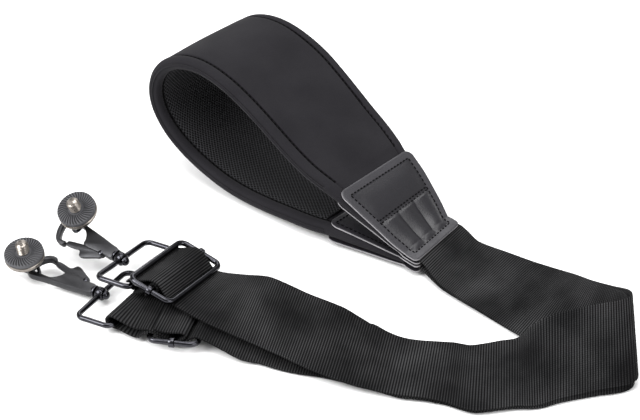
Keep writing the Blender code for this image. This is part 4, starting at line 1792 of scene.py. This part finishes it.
@dataclass
class ScrewAdapter:
    """D-ring on the hook, and the turned disc that it carries: rubber face, camera screw."""

    side: Side
    disc: float = 9.6
    disc_thick: float = 2.3
    rubber: float = 9.4
    rubber_thick: float = 2.4
    screw: float = 3.0
    screw_core: float = 2.3
    screw_height: float = 5.8
    thread: float = 1.27
    wire: float = 0.9
    half: float = 6.6
    depth: float = 7.9
    under: float = 3.3
    gap: float = 0.35
    lug_length: float = 4.0
    lug_wall: float = 1.0
    foot: float = 0.8
    seat_gap: float = 0.05
    ribs: int = 36
    swirl: float = 0.3
    rib_depth: float = 0.5
    rings: int = 39
    ring_step: float = 0.12

    def frame(self) -> tuple[Vector, Vector, Vector]:
        """Find where the disc hangs.

        Returns:
            The hinge point, the disc's normal and the direction of the D-ring's bar.
        """
        boss, axis, gate = hook_axes(self.side)
        along, side, normal, offset = HOLDS[self.side]
        normal = normal.normalized()
        hold = boss + axis * (SnapHook.stand_off + along) + gate * side
        if self.side is Side.FRONT:
            bar = axis.cross(normal).normalized()
        else:
            bar = (axis - normal * axis.dot(normal)).normalized()
        return hold + normal * (self.depth - self.under) + bar * offset, normal, bar

    def dring(self) -> None:
        """Bend the D-ring."""
        hinge, normal, bar = self.frame()
        outline: list[Pair] = []
        corners = ((self.half - 0.9, 0.9, -90, 0.9), (self.half - 2.6, self.depth - 2.6, 0, 2.6))
        for cx, cy, start, turn in corners:
            for s in range(9):
                a = math.radians(start + 11.25 * s)
                outline.append((cx + turn * math.cos(a), cy + turn * math.sin(a)))
        outline += [(-x, y) for x, y in reversed(outline)]
        draft = Draft()
        draft.tube([hinge + bar * x - normal * y for x, y in outline], self.wire, 16, True)
        side = self.side.value
        item = draft.make("dring_wire_" + side, [WIRE], 60)
        settle(item, "snap_" + side, ["dring_" + side])

    def plate(self) -> tuple[Vector, Vector]:
        """Turn the disc and its hinge lug.

        Returns:
            The seat of the rubber and the normal.
        """
        hinge, normal, bar = self.frame()
        base = hinge + normal * (self.wire + self.gap + self.foot)
        top = self.disc_thick
        r = self.disc
        draft = Draft()
        draft.lathe(
            [
                (0, 0.0), (0, r - 1.0), (0.12, r - 0.5), (0.5, r - 0.08), (0.7, r), (1.0, r),
                (1.05, r - 0.12), (1.15, r - 0.12), (1.2, r), (top - 0.25, r), (top, r - 0.25),
                (top, 0.0),
            ],
            base, normal, 72,
        )
        bore = self.wire + 0.3
        outer = self.wire + self.gap + self.lug_wall
        end = self.lug_length / 2
        lug = [(-end, bore), (-end, outer - 0.25), (0.25 - end, outer), (end - 0.25, outer)]
        draft.lathe(lug + [(end, outer - 0.25), (end, bore)], hinge, bar, 28, loop=True)
        side = self.side.value
        item = draft.make("disc_plate_" + side, [STEEL], 30)
        settle(item, "adapter_" + side, ["disc_" + side])
        return base + normal * (top + self.seat_gap), normal

    def grip(self, seat: Vector, normal: Vector) -> None:
        """Mould the rubber face with its swirling ribs.

        Args:
            seat: Centre of the rubber's underside.
            normal: Its direction.
        """
        side = normal.orthogonal().normalized()
        other = normal.cross(side)
        count = self.ribs * 8
        rows = []
        marks: list[list[Pair]] = []
        top = self.rubber_thick
        r = self.rubber
        profile = [(0.0, 0.0, 0.0), (0.0, r - 0.2, 0.0), (0.3, r, 0.0), (top - 0.75, r, 0.0)]
        profile += [(top - 0.45, r - 0.08, 0.3), (top - 0.2, r - 0.3, 0.7)]
        profile += [(top, r - 0.7 - k * self.ring_step, 1.0) for k in range(self.rings)]
        profile += [(top, 3.95, 0.4), (top - 0.4, 3.75, 0.0), (top - 0.4, 0.0, 0.0)]
        for along, radius, ribbed in profile:
            row = []
            shade = []
            for k in range(count):
                a = 2 * math.pi * k / count
                phase = self.ribs * (a + self.swirl * math.sin((r - radius) / 5.0))
                cut_in = ribbed * (0.5 - 0.5 * math.sin(phase)) ** 1.3
                spoke = side * math.cos(a) + other * math.sin(a)
                level = along - self.rib_depth * cut_in
                row.append(seat + normal * level + spoke * radius)
                # The groove depth goes to the cloth marks, where the rubber's finish paints shade
                # into it.
                shade.append((cut_in, 0.0))
            rows.append(row)
            marks.append(shade)
        draft = Draft()
        draft.grid(rows, marks, closed=True)
        name = self.side.value
        item = draft.make("ribbed_grip_" + name, [RUBBER], 40)
        settle(item, "adapter_" + name, ["disc_pad_" + name])

    def stud(self, head: Vector, normal: Vector) -> None:
        """Cut the camera thread.

        Args:
            head: Centre of the screw's foot.
            normal: Its direction.
        """
        side = normal.orthogonal().normalized()
        other = normal.cross(side)
        count = 40
        levels = 64
        rows = [[head.copy() for _ in range(count)]]
        for i in range(levels + 1):
            along = self.screw_height * i / levels
            lead = max(0.0, min(1.0, (self.screw_height - along) / 0.8))
            row = []
            for k in range(count):
                a = 2 * math.pi * k / count
                turn = (along / self.thread - k / count) % 1.0
                crest = max(0.0, min(1.0, 1.15 - abs(turn - 0.5) * 2.6))
                size = self.screw_core + (self.screw - self.screw_core) * crest * lead
                if along > self.screw_height - 0.5:
                    size -= 0.5 - (self.screw_height - along)
                spoke = side * math.cos(a) + other * math.sin(a)
                row.append(head + normal * along + spoke * size)
            rows.append(row)
        tip = head + normal * self.screw_height
        rows.append([tip.copy() for _ in range(count)])
        draft = Draft()
        draft.grid(rows, closed=True)
        name = self.side.value
        item = draft.make("threaded_stud_" + name, [STEEL], 35)
        settle(item, "adapter_" + name, ["screw_" + name])

    def build(self) -> None:
        """Build the D-ring, the disc, its rubber and its screw."""
        self.dring()
        seat, normal = self.plate()
        self.grip(seat, normal)
        self.stud(seat + normal * (self.rubber_thick + self.seat_gap), normal)


@dataclass
class Studio:
    """Pale table, soft lights and the camera at the photograph's angle."""

    elevation: float = 32.0
    distance: float = 1300.0
    focal: float = 2639.0
    picture_width: int = 640
    sensor: float = 36.0
    floor_size: float = 6.0
    sky: float = 0.42

    def camera(self) -> None:
        """Stand the camera."""
        tilt = math.radians(self.elevation)
        away = Vector((0, -math.cos(tilt), math.sin(tilt))) * self.distance
        data = bpy.data.cameras.new("view")
        data.lens = self.focal * self.sensor / self.picture_width
        data.sensor_width = self.sensor
        data.clip_end = 20.0
        item = bpy.data.objects.new("view", data)
        item.location = (Draft.shift + away) * MM
        item.rotation_euler = (math.pi / 2 - tilt, 0, 0)
        bpy.context.collection.objects.link(item)
        bpy.context.scene.camera = item

    def floor(self) -> None:
        """Lay the table."""
        half = self.floor_size / 2
        mesh = bpy.data.meshes.new("table")
        corners = [(-half, -half, 0), (half, -half, 0), (half, half, 0), (-half, half, 0)]
        mesh.from_pydata(corners, [], [(0, 1, 2, 3)])
        mesh.materials.append(BOARD.material())
        item = bpy.data.objects.new("table", mesh)
        item.location.z = -0.0002
        bpy.context.collection.objects.link(item)

    def light(self, name: str, spot: Sequence[float], size: float, power: float) -> None:
        """Hang a soft light that points at the strap.

        Args:
            name: Its name.
            spot: Where it hangs, in metres.
            size: Its side.
            power: Its power in watts.
        """
        data = bpy.data.lights.new(name, "AREA")
        data.size = size
        data.energy = power
        item = bpy.data.objects.new(name, data)
        item.location = spot
        aim = Vector((0, 0, 0.02)) - Vector(spot)
        item.rotation_euler = aim.to_track_quat("-Z", "Y").to_euler()
        bpy.context.collection.objects.link(item)

    def sky_light(self) -> None:
        """Fill the room with an even white light."""
        world = bpy.data.worlds.new("tent")
        world.use_nodes = True
        back = world.node_tree.nodes["Background"]
        back.inputs[0].default_value = (1, 1, 1, 1)
        back.inputs[1].default_value = self.sky
        bpy.context.scene.world = world
        # A plain transform keeps the black cloth black and the board white.
        bpy.context.scene.view_settings.view_transform = "Standard"

    def build(self) -> None:
        """Set the studio up."""
        self.camera()
        self.floor()
        self.light("left_box", (-1.1, -0.45, 0.9), 0.8, 24)
        self.light("back_box", (0.0, 1.3, 1.2), 1.0, 9)
        self.light("top_box", (-0.1, -0.1, 1.5), 1.1, 20)
        self.light("front_fill", (0.9, -1.2, 0.8), 1.0, 16)
        self.sky_light()


def layout_shift() -> Vector:
    """Find the layout's origin from the front slider's CAD box.

    Returns:
        Where it lies in the world, in millimetres.
    """
    low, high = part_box("slider_front")
    middle = (Vector(low) + Vector(high)) / 2
    return middle / MM - SLIDERS[Side.FRONT].centre


def main() -> None:
    """Build every piece in order."""
    logging.basicConfig(level=logging.INFO, format="%(message)s", stream=sys.stdout)
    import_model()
    shift = layout_shift()
    LOG.info("layout origin at %s mm", [round(c, 3) for c in shift])
    Draft.shift = shift
    Studio().build()
    Pad().build()
    for place in PatchPlace:
        LeatherPatch(place).build()
    for run in Run:
        Webbing(run).build()
    for side in Side:
        Slider(side).build()
        SwivelRing(side).build()
        SnapHook(side).build()
        ScrewAdapter(side).build()


if __name__ == "__main__":
    main()
